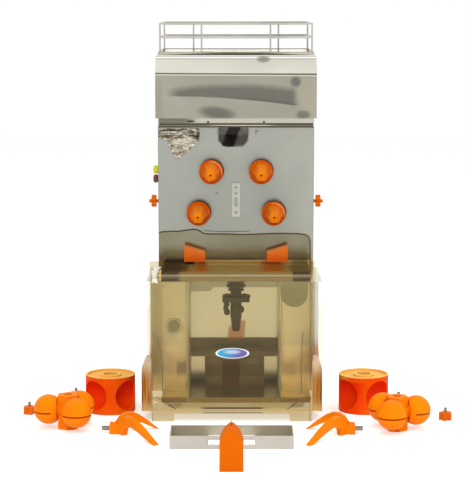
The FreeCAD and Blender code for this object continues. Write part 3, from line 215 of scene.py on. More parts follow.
def polishedSteel(name, pale, mid, deep, rough):
    made = Finish(name)
    made.ground(made.noise(4.0, 2.0, 0.5, 0.5), mid, pale, 0.2, 0.45)
    made.paint(made.noise(2.1, 2.0, 0.5, 1.0).above(0.62, 0.1) * 0.5, *deep)
    return rippledSteel(made, rough)


def warmSteel(name, metal, rough, streak="Z"):  # steel whose tones are painted, with fine brushing
    made = Finish(name)
    brushed = made.brushing(streak)
    return made, {"metal": metal, "rough": brushed * 0.08 + rough, "normal": made.scored(brushed)}


def satinPlastic(name, colour, shadow=None, rough=0.38, specular=0.3):
    made = Finish(name)
    made.ground(made.noise(18.0, 3.0, 0.5), shadow or tuple(v * 0.86 for v in colour), colour, 0.25)
    scuffs = made.noise(60.0, 4.0, 0.7, 0.6)
    return made.finished(rough=scuffs * 0.12 + (rough - 0.06), specular=specular, normal=made.grain(0.00006, 0.6))


def dress(material, *names):
    for name in names:
        slots = nodes[name].material_slots
        for slot in slots:
            slot.material = material
        if not slots:
            nodes[name].data.materials.append(material)


# the floor, the light and the camera

studio = {"floorSize": 14.0, "skyForLight": 0.62, "skySeen": 1.0, "floorGlow": 0.36, "aim": (0.0, 0.0, 0.3),
          "cameraPlace": (0.0, -3.290, 0.810), "pitch": 7.9366, "lens": 127.5,
          "lamps": (("softTop", (0.3, -0.2, 2.8), 2.6, 34.0), ("softFront", (-0.6, -3.2, 2.3), 2.2, 52.0),
                    ("softSide", (2.6, -1.2, 1.4), 1.6, 12.0))}


def seenRays(made):  # 1 for what the camera sees, straight or in metal and glass
    path = made.tree.nodes.new("ShaderNodeLightPath")
    camera, glossy, through = (Link(made, path.outputs[f"Is {ray} Ray"]) for ray in ("Camera", "Glossy", "Transmission"))
    return camera.most(glossy).most(through)


def buildStudio():
    scene = bpy.context.scene
    world = bpy.data.worlds.new("paleStudio")
    scene.world = world
    world.use_nodes = True
    sky = Finish.around(world.node_tree, "ShaderNodeOutputWorld")
    light, seen = (sky.add("ShaderNodeBackground", values={"Color": (1.0, 1.0, 1.0, 1.0), "Strength": studio[key]})
                   for key in ("skyForLight", "skySeen"))
    sky.blended(seenRays(sky), light, seen)

    for name, place, size, power in studio["lamps"]:
        lamp = bpy.data.lights.new(name, "AREA")
        lamp.size = size
        lamp.energy = power
        holder = newObject(name, lamp)
        holder.location = place
        holder.rotation_euler = (Vector(studio["aim"]) - holder.location).to_track_quat("-Z", "Y").to_euler()
        holder.visible_glossy = False

    sheet = bpy.data.meshes.new("paleFloor")
    half = studio["floorSize"] / 2
    sheet.from_pydata([(-half, -half, 0), (half, -half, 0), (half, half, 0), (-half, half, 0)], [], [(0, 1, 2, 3)])
    floor = newObject("paleFloor", sheet)
    made = Finish("paleFloor")
    made.colour = made.mix(made.noise(900.0, 2.0, 0.5), (0.95, 0.945, 0.93, 1.0), (0.98, 0.975, 0.965, 1.0))
    plain = made.surface(rough=0.85, specular=0.1)
    lit = made.surface(rough=0.85, specular=0.1, glow=(1.0, 1.0, 0.985, 1.0), glowStrength=studio["floorGlow"])
    sheet.materials.append(made.blended(seenRays(made), plain, lit))

    camera = newObject("camera", bpy.data.cameras.new("camera"))
    camera.location = studio["cameraPlace"]
    camera.rotation_euler = (math.radians(90 - studio["pitch"]), 0.0, 0.0)
    camera.data.sensor_width = 36.0
    camera.data.lens = studio["lens"]
    camera.data.clip_end = 60.0
    scene.camera = camera


buildStudio()
bpy.context.scene.view_settings.view_transform = "Standard"
print("studio ready")


# building pieces

def addPiece(name, mesh, body, material, smooth=True):
    piece = newObject(name, mesh)
    mesh.materials.append(material)
    if smooth:
        mesh.polygons.foreach_set("use_smooth", [True] * len(mesh.polygons))
    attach(piece, body)
    return piece


def thicken(piece, depth):
    piece.modifiers.new("thickness", "SOLIDIFY").thickness = depth


def addMesh(name, points, faces, body, material, smooth=True):
    mesh = bpy.data.meshes.new(name)
    mesh.from_pydata(points, [], faces)
    mesh.update()
    return addPiece(name, mesh, body, material, smooth)


def gridFaces(number):  # faces between the points that were kept of a grid
    faces = []
    for i, k in number:
        corners = [number.get(key) for key in ((i, k), (i + 1, k), (i + 1, k + 1), (i, k + 1))]
        if None not in corners:
            faces.append(tuple(corners))
    return faces


def ringPoints(radius, steps):
    return [(radius * math.cos(2 * math.pi * step / steps), radius * math.sin(2 * math.pi * step / steps))
            for step in range(steps)]


# a round form from radius and height pairs, closed at both ends
def addTurned(name, outline, centre, along, body, material, steps=48):
    ways = {"X": Matrix(((0, 0, 1), (0, 1, 0), (-1, 0, 0))), "Y": Matrix(((1, 0, 0), (0, 0, 1), (0, -1, 0))),
            "Z": Matrix.Identity(3)}
    points = [ways[along] @ Vector((*place, height)) + Vector(centre)
              for radius, height in outline for place in ringPoints(radius, steps)]
    faces = []
    for ring in range(0, (len(outline) - 1) * steps, steps):
        for step in range(steps):
            after = (step + 1) % steps
            faces.append((ring + step, ring + after, ring + steps + after, ring + steps + step))
    faces.append(tuple(reversed(range(steps))))
    faces.append(tuple(range((len(outline) - 1) * steps, len(outline) * steps)))
    addMesh(name, points, faces, body, material)


def addTube(name, run, radius, body, material):
    curve = bpy.data.curves.new(name, "CURVE")
    curve.dimensions = "3D"
    curve.bevel_depth = radius
    curve.bevel_resolution = 3
    curve.use_fill_caps = True
    spline = curve.splines.new("POLY")
    spline.points.add(len(run) - 1)
    for point, place in zip(spline.points, run):
        point.co = (*place, 1.0)
    addPiece(name, curve, body, material, False)


# the front panel: bare steel with a satin protective film over most of it

film = {"front": 0.12476, "back": 0.12496, "top": 0.5612, "side": 0.1562, "sealRoom": 0.0216, "sealSteps": 48,
        "edge": ((-0.1562, 0.3492), (-0.148, 0.3512), (-0.131, 0.3520), (-0.116, 0.3518), (-0.100, 0.3542),
                 (-0.088, 0.3558), (-0.079, 0.3552), (-0.0715, 0.3515), (-0.066, 0.3470), (-0.050, 0.3462),
                 (-0.020, 0.3464), (0.010, 0.3452), (0.040, 0.3462), (0.070, 0.3472), (0.100, 0.3476),
                 (0.128, 0.3468), (0.141, 0.3452), (0.148, 0.3405), (0.1502, 0.3320), (0.1508, 0.3100),
                 (0.1506, 0.2560)),
        "corner": (0.1562, 0.2560),
        "crease": ((-0.0645, 0.3532), (-0.040, 0.3518), (-0.010, 0.3512), (0.014, 0.3516), (0.0275, 0.3526)),
        "seals": ((-0.05125, 0.474), (0.05125, 0.474), (-0.0756, 0.38996), (0.0756, 0.38996)),
        "slot": ((-0.0375, 0.5612), (-0.0375, 0.543), (-0.0362, 0.5353), (-0.0322, 0.5288), (-0.0257, 0.5243),
                 (-0.0175, 0.523), (0.0065, 0.523), (0.0147, 0.5243), (0.0212, 0.5288), (0.0252, 0.5353),
                 (0.0265, 0.543), (0.0265, 0.5612))}


def panelSteel():  # its low strip, below the film, carries painted reflections of the trough and the deflectors, painted dark reflections and a painted glow
    made = Finish("panelSteel")
    x, y, z = made.axes()
    cloud = made.noise(7.0, 3.0, 0.5, 0.6)
    made.ground(cloud, (112, 107, 88), (126, 122, 104))
    low = z.below(0.2930, 0.0006)
    made.lay(low, made.mix(cloud.above(0.5, 0.2), tone(232, 212, 164), tone(246, 228, 182)))
    # painted dark reflections at the left end and over the right part of the low strip
    edge = x * 0.05 + made.noise(40.0, 2.0, 0.5) * 0.012
    left = (z - edge).above(0.2745, 0.0012) * x.below(-0.083, 0.003)
    right = x.between(0.1157, 0.1500, 0.002) * 0.45
    made.paint((left + right).least(1.0) * low * 0.9, 66, 58, 44)
    # painted orange reflections of the deflectors in the low strip
    orange = away(x, z, (-0.0695, 0.279), (5200, 9000)).below(1.0, 0.3)
    orange = (orange + away(x, z, (0.0722, 0.280), (1400, 6400)).below(1.0, 0.3)).least(1.0)
    made.paint(orange * low * 0.9, 206, 118, 26)
    # a painted dark ring, reflected in the low strip
    ring = away(x, z, (-0.001, 0.2764), (1000, 3000)).near(0.018, 0.008, 0.004)
    made.paint(ring * low * 0.7, 80, 72, 52)
    brushed = made.brushing("Z")
    waves = made.dents(made.noise(5.0, 1.0, 0.4), 0.0012, 0.35)
    # a painted glow that lights the low strip, less where its reflections are dark or orange
    paintedStripGlow = made.mix(low * (1 - left) * (1 - right) * (1 - orange * 0.6), black, tone(128, 112, 74))
    return made.finished(metal=1.0, rough=brushed * steel["roughSpread"] + 0.14, glow=paintedStripGlow, glowStrength=0.45,
                         normal=made.scored(brushed, waves))


def filmFinish():
    made = Finish("protectiveFilm")
    x, y, z = made.axes()
    made.ground(made.noise(6.0, 3.0, 0.55, 0.5), (152, 156, 147), (163, 164, 154), 0.25)
    made.paint(x.below(-0.02, 0.14) * 0.35, 150, 156, 150)
    # painted shade lower down and painted light along the right edge
    made.paint(z.below(0.44, 0.08) * 0.3, 142, 144, 134)
    made.paint(x.above(0.135, 0.02) * 0.5, 166, 165, 153)
    marks = away(x, z, (0.0415, 0.5555), (60000, 400000)).below(0.8, 0.4)
    marks = marks + x.near(0.0400, 0.0010, 0.0006) * z.between(0.5475, 0.5560, 0.001)
    marks = marks + away(x, z, (-0.0392, 0.4295), (90000, 500000)).below(0.8, 0.4)
    made.paint(marks.least(1.0) * 0.75, 84, 82, 72)
    creases = made.dents(made.noise(9.0, 5.0, 0.7, 1.4, made.squeeze((1.0, 1.0, 0.5))), 0.0012, 0.25)
    return made.finished(metal=0.75, rough=made.noise(50.0, 4.0, 0.6) * 0.14 + 0.26, normal=creases)


def buildFilm():
    sheet = bpy.data.curves.new("panelFilm", "CURVE")
    sheet.dimensions = "2D"
    sheet.fill_mode = "BOTH"
    sheet.extrude = (film["back"] - film["front"]) / 2
    corners = [(-film["side"], film["top"]), *film["edge"], film["corner"], (film["side"], film["top"])]
    holes = [[(x + dx, z + dz) for dx, dz in ringPoints(film["sealRoom"], film["sealSteps"])] for x, z in film["seals"]]
    for run in [corners + list(reversed(film["slot"])), *holes]:
        spline = sheet.splines.new("POLY")
        spline.points.add(len(run) - 1)
        for point, (x, z) in zip(spline.points, run):
            point.co = (x, z, 0.0, 1.0)
        spline.use_cyclic_u = True
    flat = newObject("panelFilmOutline", sheet)
    bpy.context.view_layer.update()
    mesh = bpy.data.meshes.new_from_object(flat)
    bpy.data.objects.remove(flat)
    middle = (film["front"] + film["back"]) / 2
    mesh.transform(Matrix(((1, 0, 0, 0), (0, 0, -1, middle), (0, 1, 0, 0), (0, 0, 0, 1))))
    mesh.materials.clear()
    mesh.name = "panelFilm"
    addPiece("panelFilm", mesh, "machine", filmFinish(), False)
    brown = satinPlastic("filmEdgeBrown", (88, 72, 42), (70, 56, 30), 0.4)
    for name, run, radius in (("filmEdge", film["edge"], 0.0013), ("filmCrease", film["crease"], 0.0006)):
        addTube(name, [(x, film["front"] - 0.0002, z) for x, z in run], radius, "machine", brown)


# the film that has been peeled back and crumpled at the panel's upper left

crumple = {"outline": ((-0.1560, 0.5612), (-0.0737, 0.5612), (-0.0727, 0.5389), (-0.0829, 0.5247), (-0.0993, 0.5125),
                       (-0.1157, 0.4973), (-0.1238, 0.5004), (-0.1330, 0.5200), (-0.1400, 0.5365), (-0.1560, 0.5425)),
           "step": 0.0014, "lift": 0.0065, "seed": 3, "calmFrom": 0.540, "calmOver": 0.012, "wander": 0.0012,
           "gap": 0.0004, "thick": 0.0002}


def inside(x, z, outline):
    found = False
    for (x1, z1), (x2, z2) in zip(outline, outline[1:] + outline[:1]):
        if (z1 > z) != (z2 > z) and x < (x2 - x1) * (z - z1) / (z2 - z1) + x1:
            found = not found
    return found


def crumpleFinish():
    made = Finish("crumpledFilm")
    x, y, z = made.axes()
    folds = made.noise(34.0, 5.0, 0.75, 2.2, made.squeeze((0.7, 1.0, 1.4)))
    made.ground(made.noise(60.0, 3.0, 0.6), (168, 161, 138), (210, 206, 192), 0.12)
    # painted shade along the fold lines, then painted glints on the crinkles
    made.paint(folds.near(0.5, 0.028, 0.022) * 0.85, 88, 74, 42)
    made.paint(made.noise(90.0, 3.0, 0.6, 1.0).above(0.62, 0.04), 238, 238, 232)
    # the finer upper folds get painted dark bands of shade and pale bands of highlight
    bands = made.noise(3.0, 3.0, 0.6, 0.6, made.squeeze((6.0, 1.0, 70.0)))
    high = z.above(0.545, 0.004)
    made.paint(high * bands.below(0.47, 0.03) * 0.85, 74, 64, 40)
    made.paint(high * bands.above(0.56, 0.03) * 0.7, 214, 212, 202)
    # darker at the right end of the upper part
    made.paint(x.above(-0.0800, 0.0012) * z.above(0.536, 0.002) * 0.75, 66, 58, 44)
    return made.finished(metal=0.6, rough=0.2, normal=made.dents(folds, 0.002, 0.5))


def crumpleRise(x, z):  # how far the film stands off the panel; its upper part is folded finer
    high = max(0.0, min(1.0, (z - crumple["calmFrom"]) / crumple["calmOver"]))
    rough = noise.fractal(Vector((x * (46 - 24 * high), crumple["seed"], z * (80 + 60 * high))), 0.9, 2.1, 3)
    ridge = abs(noise.noise(Vector((x * (30 - 16 * high) + z * 28, 1.5, z * (62 + 50 * high))))) * 1.8
    return crumple["lift"] * min(1.0, max(0.06, 0.42 + 0.5 * rough + 0.6 * (0.5 - ridge)))


def buildCrumple():
    xs, zs = zip(*crumple["outline"])
    step = crumple["step"]
    noise.seed_set(crumple["seed"])  # without it noise_vector differs from run to run
    number, points = {}, []
    for i in range(int((max(xs) - min(xs)) / step) + 1):
        for k in range(int((max(zs) - min(zs)) / step) + 1):
            x, z = min(xs) + i * step, min(zs) + k * step
            if inside(x, z, crumple["outline"]):
                wander = noise.noise_vector(Vector((x * 80, 7.0, z * 80))) * crumple["wander"]
                number[i, k] = len(points)
                points.append((x + wander.x, film["front"] - crumple["gap"] - crumpleRise(x, z), z + wander.z))
    sheet = addMesh("crumpledFilm", points, gridFaces(number), "machine", crumpleFinish(), False)
    thicken(sheet, crumple["thick"])


buildFilm()
buildCrumple()
print("panel film made")


# the hood, with the room's reflections painted into its steel

hood = {"front": (163, 160, 145), "light": (178, 175, 160), "paintedDarkBand": (120, 117, 108), "crease": 0.6705, "lip": 0.7006}


def hoodSteel():
    made = Finish("hoodSteel")
    x, y, z = made.axes()
    drift = made.noise(9.0, 3.0, 0.55, 0.8) - 0.5
    cloud = made.noise(5.0, 2.0, 0.5, 0.5, made.squeeze((0.6, 1.0, 1.4)))
    made.ground(cloud, hood["front"], hood["light"])
    ahead = y.below(0.17, 0.02)  # keeps the painted reflections off the sides and the back
    # a painted dark band of reflection across the front, darkest along its lower edge
    low = z - (0.6206 - x * 0.075 - x * x * 0.28 + drift * 0.004)
    high = z - (0.648 - x * x * 0.6 + drift * 0.008)
    paintedDarkBand = low.above(0.0, 0.0014) * high.below(0.0, 0.009) * x.above(-0.128, 0.018) * x.below(0.119, 0.009) * ahead
    made.paint(paintedDarkBand, *hood["paintedDarkBand"])
    made.paint(paintedDarkBand * low.below(0.004, 0.004) * x.above(-0.01, 0.05) * 0.6, 98, 97, 90)
    # a painted paler reflection at the right
    right = (x - (0.6206 - z) * 0.3).above(0.127, 0.010)
    made.paint(right * 0.5 * z.below(0.664, 0.01) * ahead, 184, 175, 157)
    # painted dark spots, reflections of things in the room
    made.paint(away(x, z, (0.1190, 0.6550), (1600, 1500)).below(0.16, 0.14) * 0.85 * ahead, 108, 108, 102)
    tilted = z + (x + 0.0375) * 0.12
    made.paint(away(x, tilted, (-0.0375, 0.5925), (170, 1300)).below(0.19, 0.17) * 0.85 * ahead, 106, 106, 97)
    made.paint(away(x, z, (0.1345, 0.5885), (900, 1900)).below(0.16, 0.14) * 0.75 * ahead, 112, 108, 92)
    # a painted warm reflection at the lower left
    warm = x.below(-0.146, 0.006) * (z + x * 0.5).below(0.58, 0.02)
    made.paint(warm * 0.35 * ahead, 150, 140, 118)
    # above the crease the slope carries a painted reflection of a pale sky, a painted white highlight on the lip, a
    # painted grey line just under it, a painted darker strip above it and a painted dark patch
    cloud = made.noise(6.0, 2.0, 0.5, 0.6, made.squeeze((0.5, 1.0, 2.0)))
    sky = made.mix(cloud.above(0.5, 0.2), tone(214, 212, 198), tone(232, 230, 216))
    sky = made.mix(z.above(hood["lip"], 0.0005), sky, tone(255, 254, 250))
    sky = made.mix(z.near(0.6992, 0.0009, 0.0006) * 0.9, sky, tone(178, 174, 166))
    sky = made.mix(z.above(0.7036, 0.0004) * 0.8, sky, tone(150, 147, 140))
    paintedDarkPatch = away(x, z, (0.055, 0.699), (2500, 9000)).below(0.4, 0.35)
    made.lay(z.above(hood["crease"] + 0.0012, 0.0006), made.mix(paintedDarkPatch * 0.8 * ahead, sky, tone(130, 130, 120)))
    # a painted dark line along the crease, with a painted highlight just below it
    leaning = z + x * 0.006
    made.paint(leaning.near(hood["crease"], 0.0011, 0.0005), 108, 104, 90)
    made.paint(leaning.near(hood["crease"] - 0.003, 0.0009, 0.0005) * 0.8, 232, 230, 214)
    return rippledSteel(made, 0.1, 0.5)


# finishes of the other CAD nodes

knobs = {"upper": (0.050, 0.474), "lower": (0.0756, 0.3903), "parting": 0.432, "pitch": 0.1256,
         "base": ((204, 94, 0), (212, 100, 0)), "edge": (198, 80, 0), "pale": (236, 140, 10), "paintedLitFan": (240, 150, 30),
         "glint": (250, 222, 160)}


def knobFinish():
    made = Finish("knobOrange")
    x, y, z = made.axes()
    lower = z.below(knobs["parting"], 0.001)
    (upperX, upperZ), (lowerX, lowerZ) = knobs["upper"], knobs["lower"]
    dx = abs(x) - (lower * (lowerX - upperX) + upperX)
    dz = z - (lower * (lowerZ - upperZ) + upperZ)
    far = (dx * dx + dz * dz) * 1000.0
    made.ground(made.noise(30.0, 3.0, 0.5), *knobs["base"])
    # painted shade and light on the cone: a darker outer ring, a paler middle, a paler lit fan above the tip and a
    # painted glint on the rim
    made.paint(far.above(0.36, 0.1) * 0.7, *knobs["edge"])
    made.paint(far.below(0.16, 0.14) * 0.3, *knobs["pale"])
    paintedLitFan = (dz + 0.004 - abs(dx) * 1.6).above(0.0, 0.003) * far.below(0.34, 0.08)
    made.paint(paintedLitFan * 0.28, *knobs["paintedLitFan"])
    turnedTo = x - x.above(0.0, 0.0001) * knobs["pitch"] + knobs["pitch"] / 2
    glint = far.near(0.450, 0.022, 0.012) * dz.above(-0.004, 0.004) * turnedTo.above(0.010, 0.004)
    made.paint(glint * 0.7, *knobs["glint"])
    scuffs = made.noise(60.0, 4.0, 0.7, 0.6)
    return made.finished(rough=scuffs * 0.12 + 0.4, specular=0.04, normal=made.grain())


drums = {"centre": (0.254, 0.051), "cupReach": 2.34, "topReach": 2.24, "boreReach": 0.11}


def drumFinish():
    made = Finish("cupDrumOrange")
    x, y, z = made.axes()
    nx, ny, nz = made.facing()
    cloud = made.noise(24.0, 3.0, 0.5)
    made.ground(cloud, (236, 78, 0), (240, 86, 2))
    # lighter near the floor
    made.paint(z.below(0.016, 0.012) * 0.6, 242, 98, 6)
    near = away(abs(x), y, drums["centre"], (1000.0, 1000.0))
    # painted shade inside the cups, a deeper red higher up
    cups = near.below(drums["cupReach"], 0.05) * z.below(0.065, 0.0005)
    made.lay(cups, made.mix(z.above(0.034, 0.02), tone(238, 64, 0), tone(232, 44, 0)))
    # the top painted pale, as lit from above
    top = nz.above(0.6, 0.2) * z.above(0.06, 0.004)
    top = top.most(near.below(drums["topReach"], 0.03) * z.above(0.0655, 0.0005))
    made.paint(top, 244, 184, 88)
    # painted shade in the bore
    made.paint(near.below(drums["boreReach"], 0.02) * z.above(0.05, 0.002), 216, 104, 30)
    # a painted highlight on the upward faces of the top
    made.paint(nz.above(0.2, 0.2) * z.above(0.0705, 0.002) * 0.5, 246, 204, 100)
    return made.finished(rough=cloud * 0.1 + 0.4, specular=0.06, normal=made.grain())


def deflectorFinish():
    made = Finish("deflectorOrange")
    x, y, z = made.axes()
    nx, ny, nz = made.facing()
    cloud = made.noise(40.0, 3.0, 0.5)
    made.ground(cloud, (206, 84, 14), (216, 94, 20))
    # painted light on the top and on the upward faces
    made.paint(z.above(0.309, 0.010) * 0.5, 240, 128, 50)
    made.paint(nz.above(0.5, 0.2), 244, 142, 66)
    return made.finished(rough=cloud * 0.1 + 0.4, specular=0.08, normal=made.grain())


def studded(name, base, mask):  # orange plastic with a steel stud where the mask says
    made = Finish(name)
    stud = mask(*made.axes())
    made.ground(made.noise(18.0, 3.0, 0.5), tuple(v * 0.94 for v in base), base, 0.25)
    made.paint(stud, 140, 136, 126)
    scuffs = made.noise(60.0, 4.0, 0.7, 0.6)
    return made.finished(metal=stud * 0.8, rough=scuffs * 0.12 + 0.36, specular=0.07, normal=made.grain())


def outermost(name):
    return max(abs(corner[0]) for corner in nodes[name].bound_box)


recess = {"upper": 0.2224, "paintedDarkBand": (0.0755, 0.1158), "foot": 0.0275, "middle": -0.004, "half": 0.0612}


def recessSteel():  # the wall behind the tap, with a painted reflection of the stand's dark floor in its lower half, painted shade at its top and a painted glow
    made, how = warmSteel("recessSteel", 0.6, 0.34)
    how["normal"] = made.dents(made.noise(6.0, 2.0, 0.5), 0.002, 0.15)
    x, y, z = made.axes()
    made.ground(made.noise(5.0, 2.0, 0.5, 0.4), (222, 228, 232), (232, 238, 242))
    # painted shade across the top of the wall
    upper = (z + x.below(-0.050, 0.006) * 0.0085).above(recess["upper"], 0.0012)
    made.paint(upper, 176, 180, 178)
    # a painted dark band of reflection, lighter along its lower part
    paintedDarkBand = z.between(*recess["paintedDarkBand"], 0.0008)
    made.paint(paintedDarkBand, 116, 112, 96)
    made.paint(paintedDarkBand * z.below(0.0846, 0.002), 142, 136, 114)
    # a painted orange reflection
    orange = (x - z * 0.08).between(-0.0265, 0.008, 0.003) * z.between(0.112, 0.152, 0.004)
    orange = orange * (z - x * 0.9).below(0.152, 0.006)
    made.paint(orange * 0.85, 214, 120, 50)
    # two thin painted lines in the reflection
    made.paint((z.near(0.0868, 0.0009, 0.0006) + z.near(0.1135, 0.0007, 0.0005)) * 0.5, 150, 140, 112)
    # below the band the floor is painted as a reflection: bright blocks at the sides, shade at their feet and a darker
    # middle
    side = abs(x - recess["middle"]).above(recess["half"], 0.0008)
    low = z.below(recess["paintedDarkBand"][0], 0.001)
    block = low * side
    made.paint(block, 255, 254, 240)
    made.paint(block * z.below(0.042, 0.010), 112, 104, 84)
    made.paint(z.below(recess["foot"], 0.0025) * side, 24, 20, 12)
    made.paint(low * (1 - side), 108, 102, 86)
    # a painted glow on the wall, less at the top and over the orange, and a brighter painted glow on the blocks
    wall = z.above(0.1165, 0.0008) * (1 - upper * 0.45)
    glow = made.mix(wall * (1 - orange * 0.6), black, tone(174, 178, 156))
    glow = made.mix(block * z.above(0.044, 0.014), glow, tone(186, 182, 164))
    return made.finished(glow=glow, glowStrength=0.6, **how)


def standFinish():
    made = Finish("glassStand")
    x, y, z = made.axes()
    stripes = made.noise(3.0, 3.0, 0.6, 0.0, made.squeeze((40.0, 1.0, 6.0)))
    made.ground(stripes, (112, 104, 86), (128, 120, 100), 0.12)
    # painted reflections on the polished front: darker low down, a paler band, a brown middle that mirrors the orange
    # wedge and is paler at its top and foot, a flat tone on top, a dark line and a darker foot at the sides
    made.paint(z.below(0.0725, 0.002) * 0.8, 92, 82, 58)
    made.paint(z.between(0.0290, 0.0465, 0.002) * 0.8, 130, 118, 88)
    centre = x.near(-0.0103, 0.0178, 0.0007) * z.between(0.022, 0.0805, 0.0008)
    brown = made.mix(stripes.above(0.52, 0.1), tone(58, 24, 0), tone(74, 34, 0))
    brown = made.mix(z.above(0.070, 0.006) * 0.8, brown, tone(96, 62, 14))
    made.lay(centre, made.mix(z.below(0.044, 0.004) * 0.8, brown, tone(92, 60, 12)))
    made.paint(z.above(0.0965, 0.0005), 122, 112, 92)
    made.paint(z.near(0.0862, 0.0008, 0.0005) * 0.6, 70, 62, 46)
    made.paint(z.below(0.036, 0.01) * (1 - centre) * 0.5, 84, 76, 52)
    return made.finished(rough=stripes * 0.1 + 0.3, metal=(1 - centre) * 0.35, specular=0.1,
                         normal=made.dents(stripes, 0.0001, 0.2))


# how strong each painted reflection, painted light and painted glow is on the two peel bins; distances run outwards
# from the middle plane
bins = {"front": 0.1228, "depth": (0.1230, 0.3162),
        "left": {"sign": -1, "edge": 0.171, "outside": (222, 222, 216), "patch": (0.088, 0.104), "warm": 0.2, "lit": 0.4,
                 "block": 0.55, "foot": 0.75, "inner": (0.0950, 0.1820), "footGlow": 0.2},
        "right": {"sign": 1, "edge": 0.158, "outside": (186, 186, 180), "patch": (0.094, 0.120), "warm": 0.45, "lit": 0.7,
                  "block": 0.2, "foot": 1.0, "inner": (0.0868, 0.1738), "footGlow": 0.6}}


def binSteel(side):
    own = bins[side]
    made, how = warmSteel(f"{side}BinSteel", 0.75, 0.2)
    x, y, z = made.axes()
    out = x * own["sign"]
    cloud = made.noise(6.0, 2.0, 0.5, 0.5, made.squeeze((1.0, 1.0, 0.6)))
    made.ground(cloud, (214, 216, 198), (224, 227, 212))
    ahead = y.below(bins["front"], 0.0006)
    # painted shade towards the outer edge of the front
    made.paint(out.above(0.150, 0.006) * z.above(0.03, 0.01) * ahead * 0.35, 140, 136, 112)
    # painted reflections on the outer strip of the front, with the amber light that comes through the cover painted low
    # down on it
    outside = out.above(own["edge"], 0.001)
    made.paint(outside * ahead * 0.8, *own["outside"])
    patch = (z.between(*own["patch"], 0.012) * 0.6).most(z.below(0.088, 0.012) * 0.85)
    made.paint(outside * ahead * patch, 176, 112, 44)
    # a painted warm reflection
    warm = (z - (out - 0.10) * 0.45).between(0.040, 0.086, 0.008) * out.above(0.100, 0.012) * ahead
    made.paint(warm * own["warm"] * (1 - outside), 214, 150, 84)
    # painted light across the middle of the front
    lit = ahead * z.between(0.05, 0.118, 0.006) * out.below(0.150, 0.004) * (1 - warm * 0.6)
    made.paint(lit * own["lit"], 250, 240, 212)
    # a painted dark block and a thin painted dark line, reflected
    block = out.between(0.080, 0.1215, 0.002) * z.between(0.034, 0.082, 0.006) * ahead
    made.paint(block * own["block"], 120, 112, 84)
    line = (z + out * 0.03).near(0.0435, 0.0007, 0.0005) * out.between(0.100, 0.148, 0.002) * ahead
    made.paint(line * 0.8, 84, 72, 44)
    # painted light along the foot of the front
    foot = z.below(0.056, 0.008) * ahead
    made.paint(foot * own["foot"], 255, 242, 202)
    # a painted glow inside the bin, near white where its top shows beyond the cover, and a warm painted glow at the
    # foot
    inner = y.between(*bins["depth"], 0.0004) * out.between(*own["inner"], 0.0004)
    glow = made.mix(inner, black, tone(124, 120, 98))
    glow = made.mix(inner * outside * z.above(0.20, 0.01), glow, tone(236, 236, 230))
    glow = made.mix(foot * own["footGlow"], glow, tone(120, 104, 62))
    return made.finished(glow=glow, glowStrength=0.42, **how)


def baseSteel():
    made, how = warmSteel("baseTraySteel", 0.7, 0.2, "X")
    x, y, z = made.axes()
    made.ground(made.noise(7.0, 2.0, 0.5, 0.5), (104, 98, 74), (122, 114, 88))
    # painted light on both ends, two pale painted lines and a painted lighter front edge
    sides = abs(x + 0.002).above(0.092, 0.003)
    made.paint(sides, 226, 208, 156)
    lines = y.near(0.082, 0.003, 0.002) + y.near(0.128, 0.002, 0.002)
    made.paint(lines * 0.6 * (1 - sides), 206, 190, 140)
    made.paint(y.below(0.0585, 0.0005), 168, 148, 104)
    return made.finished(**how)


def ledgeSteel():  # the juice trough below the panel, with painted reflections of the deflectors, painted shade at its ends and a painted glow inside
    made, how = warmSteel("ledgeSteel", 0.7, 0.2, "X")
    x, y, z = made.axes()
    made.ground(made.noise(8.0, 3.0, 0.5, 0.8), (134, 128, 108), (150, 144, 124))
    face = y.below(0.032, 0.0005)
    made.paint(face, 150, 142, 114)
    # painted shade at both ends
    ends = x.below(-0.112, 0.006) + x.between(0.112, 0.1465, 0.002)
    made.paint(ends.least(1.0) * 0.95, 44, 40, 30)
    # the inside painted pale, with a painted glow
    within = (1 - face) * z.above(0.2655, 0.001) * (1 - x.below(-0.098, 0.006)) * (1 - x.above(0.1080, 0.003) * 0.5)
    made.paint(within, 214, 206, 176)
    # painted orange reflections of the deflectors
    spots = (x.near(-0.069, 0.010, 0.006) + x.near(0.073, 0.021, 0.008)).least(1.0) * within * 0.8
    made.paint(spots, 226, 134, 24)
    glow = made.mix(within, black, tone(104, 92, 60))
    glow = made.mix(spots, glow, tone(120, 74, 6))
    return made.finished(glow=glow, glowStrength=0.4, **how)


def headerFinish():
    made, how = warmSteel("headerSteel", 0.75, 0.18, "X")
    x, y, z = made.axes()
    cloud = made.noise(9.0, 3.0, 0.5, 0.8, made.squeeze((0.6, 1.0, 1.6)))
    made.ground(cloud, (104, 101, 85), (128, 124, 107), 0.15)
    # painted light as a bright band along the upper part; below it painted shade along the foot, crossed by a painted
    # pale line that is brighter in the middle
    made.paint(x.above(-0.088, 0.02) * z.between(0.5712, 0.5812, 0.0012) * 0.8, 216, 212, 196)
    made.paint(z.below(0.5700, 0.0008), 54, 50, 38)
    pale = z.near(0.5664, 0.0009, 0.0005)
    made.paint(pale * 0.6, 168, 164, 148)
    made.paint(pale * x.near(0.012, 0.06, 0.02) * 0.8, 226, 214, 186)
    made.paint(away(x, z, (-0.091, 0.5745), (900, 16000)).below(0.06, 0.04), 52, 48, 40)
    return made.finished(**how)


trayLook = {"front": 0.1345, "foot": 0.7066, "rim": 0.7120, "rear": 0.3960}


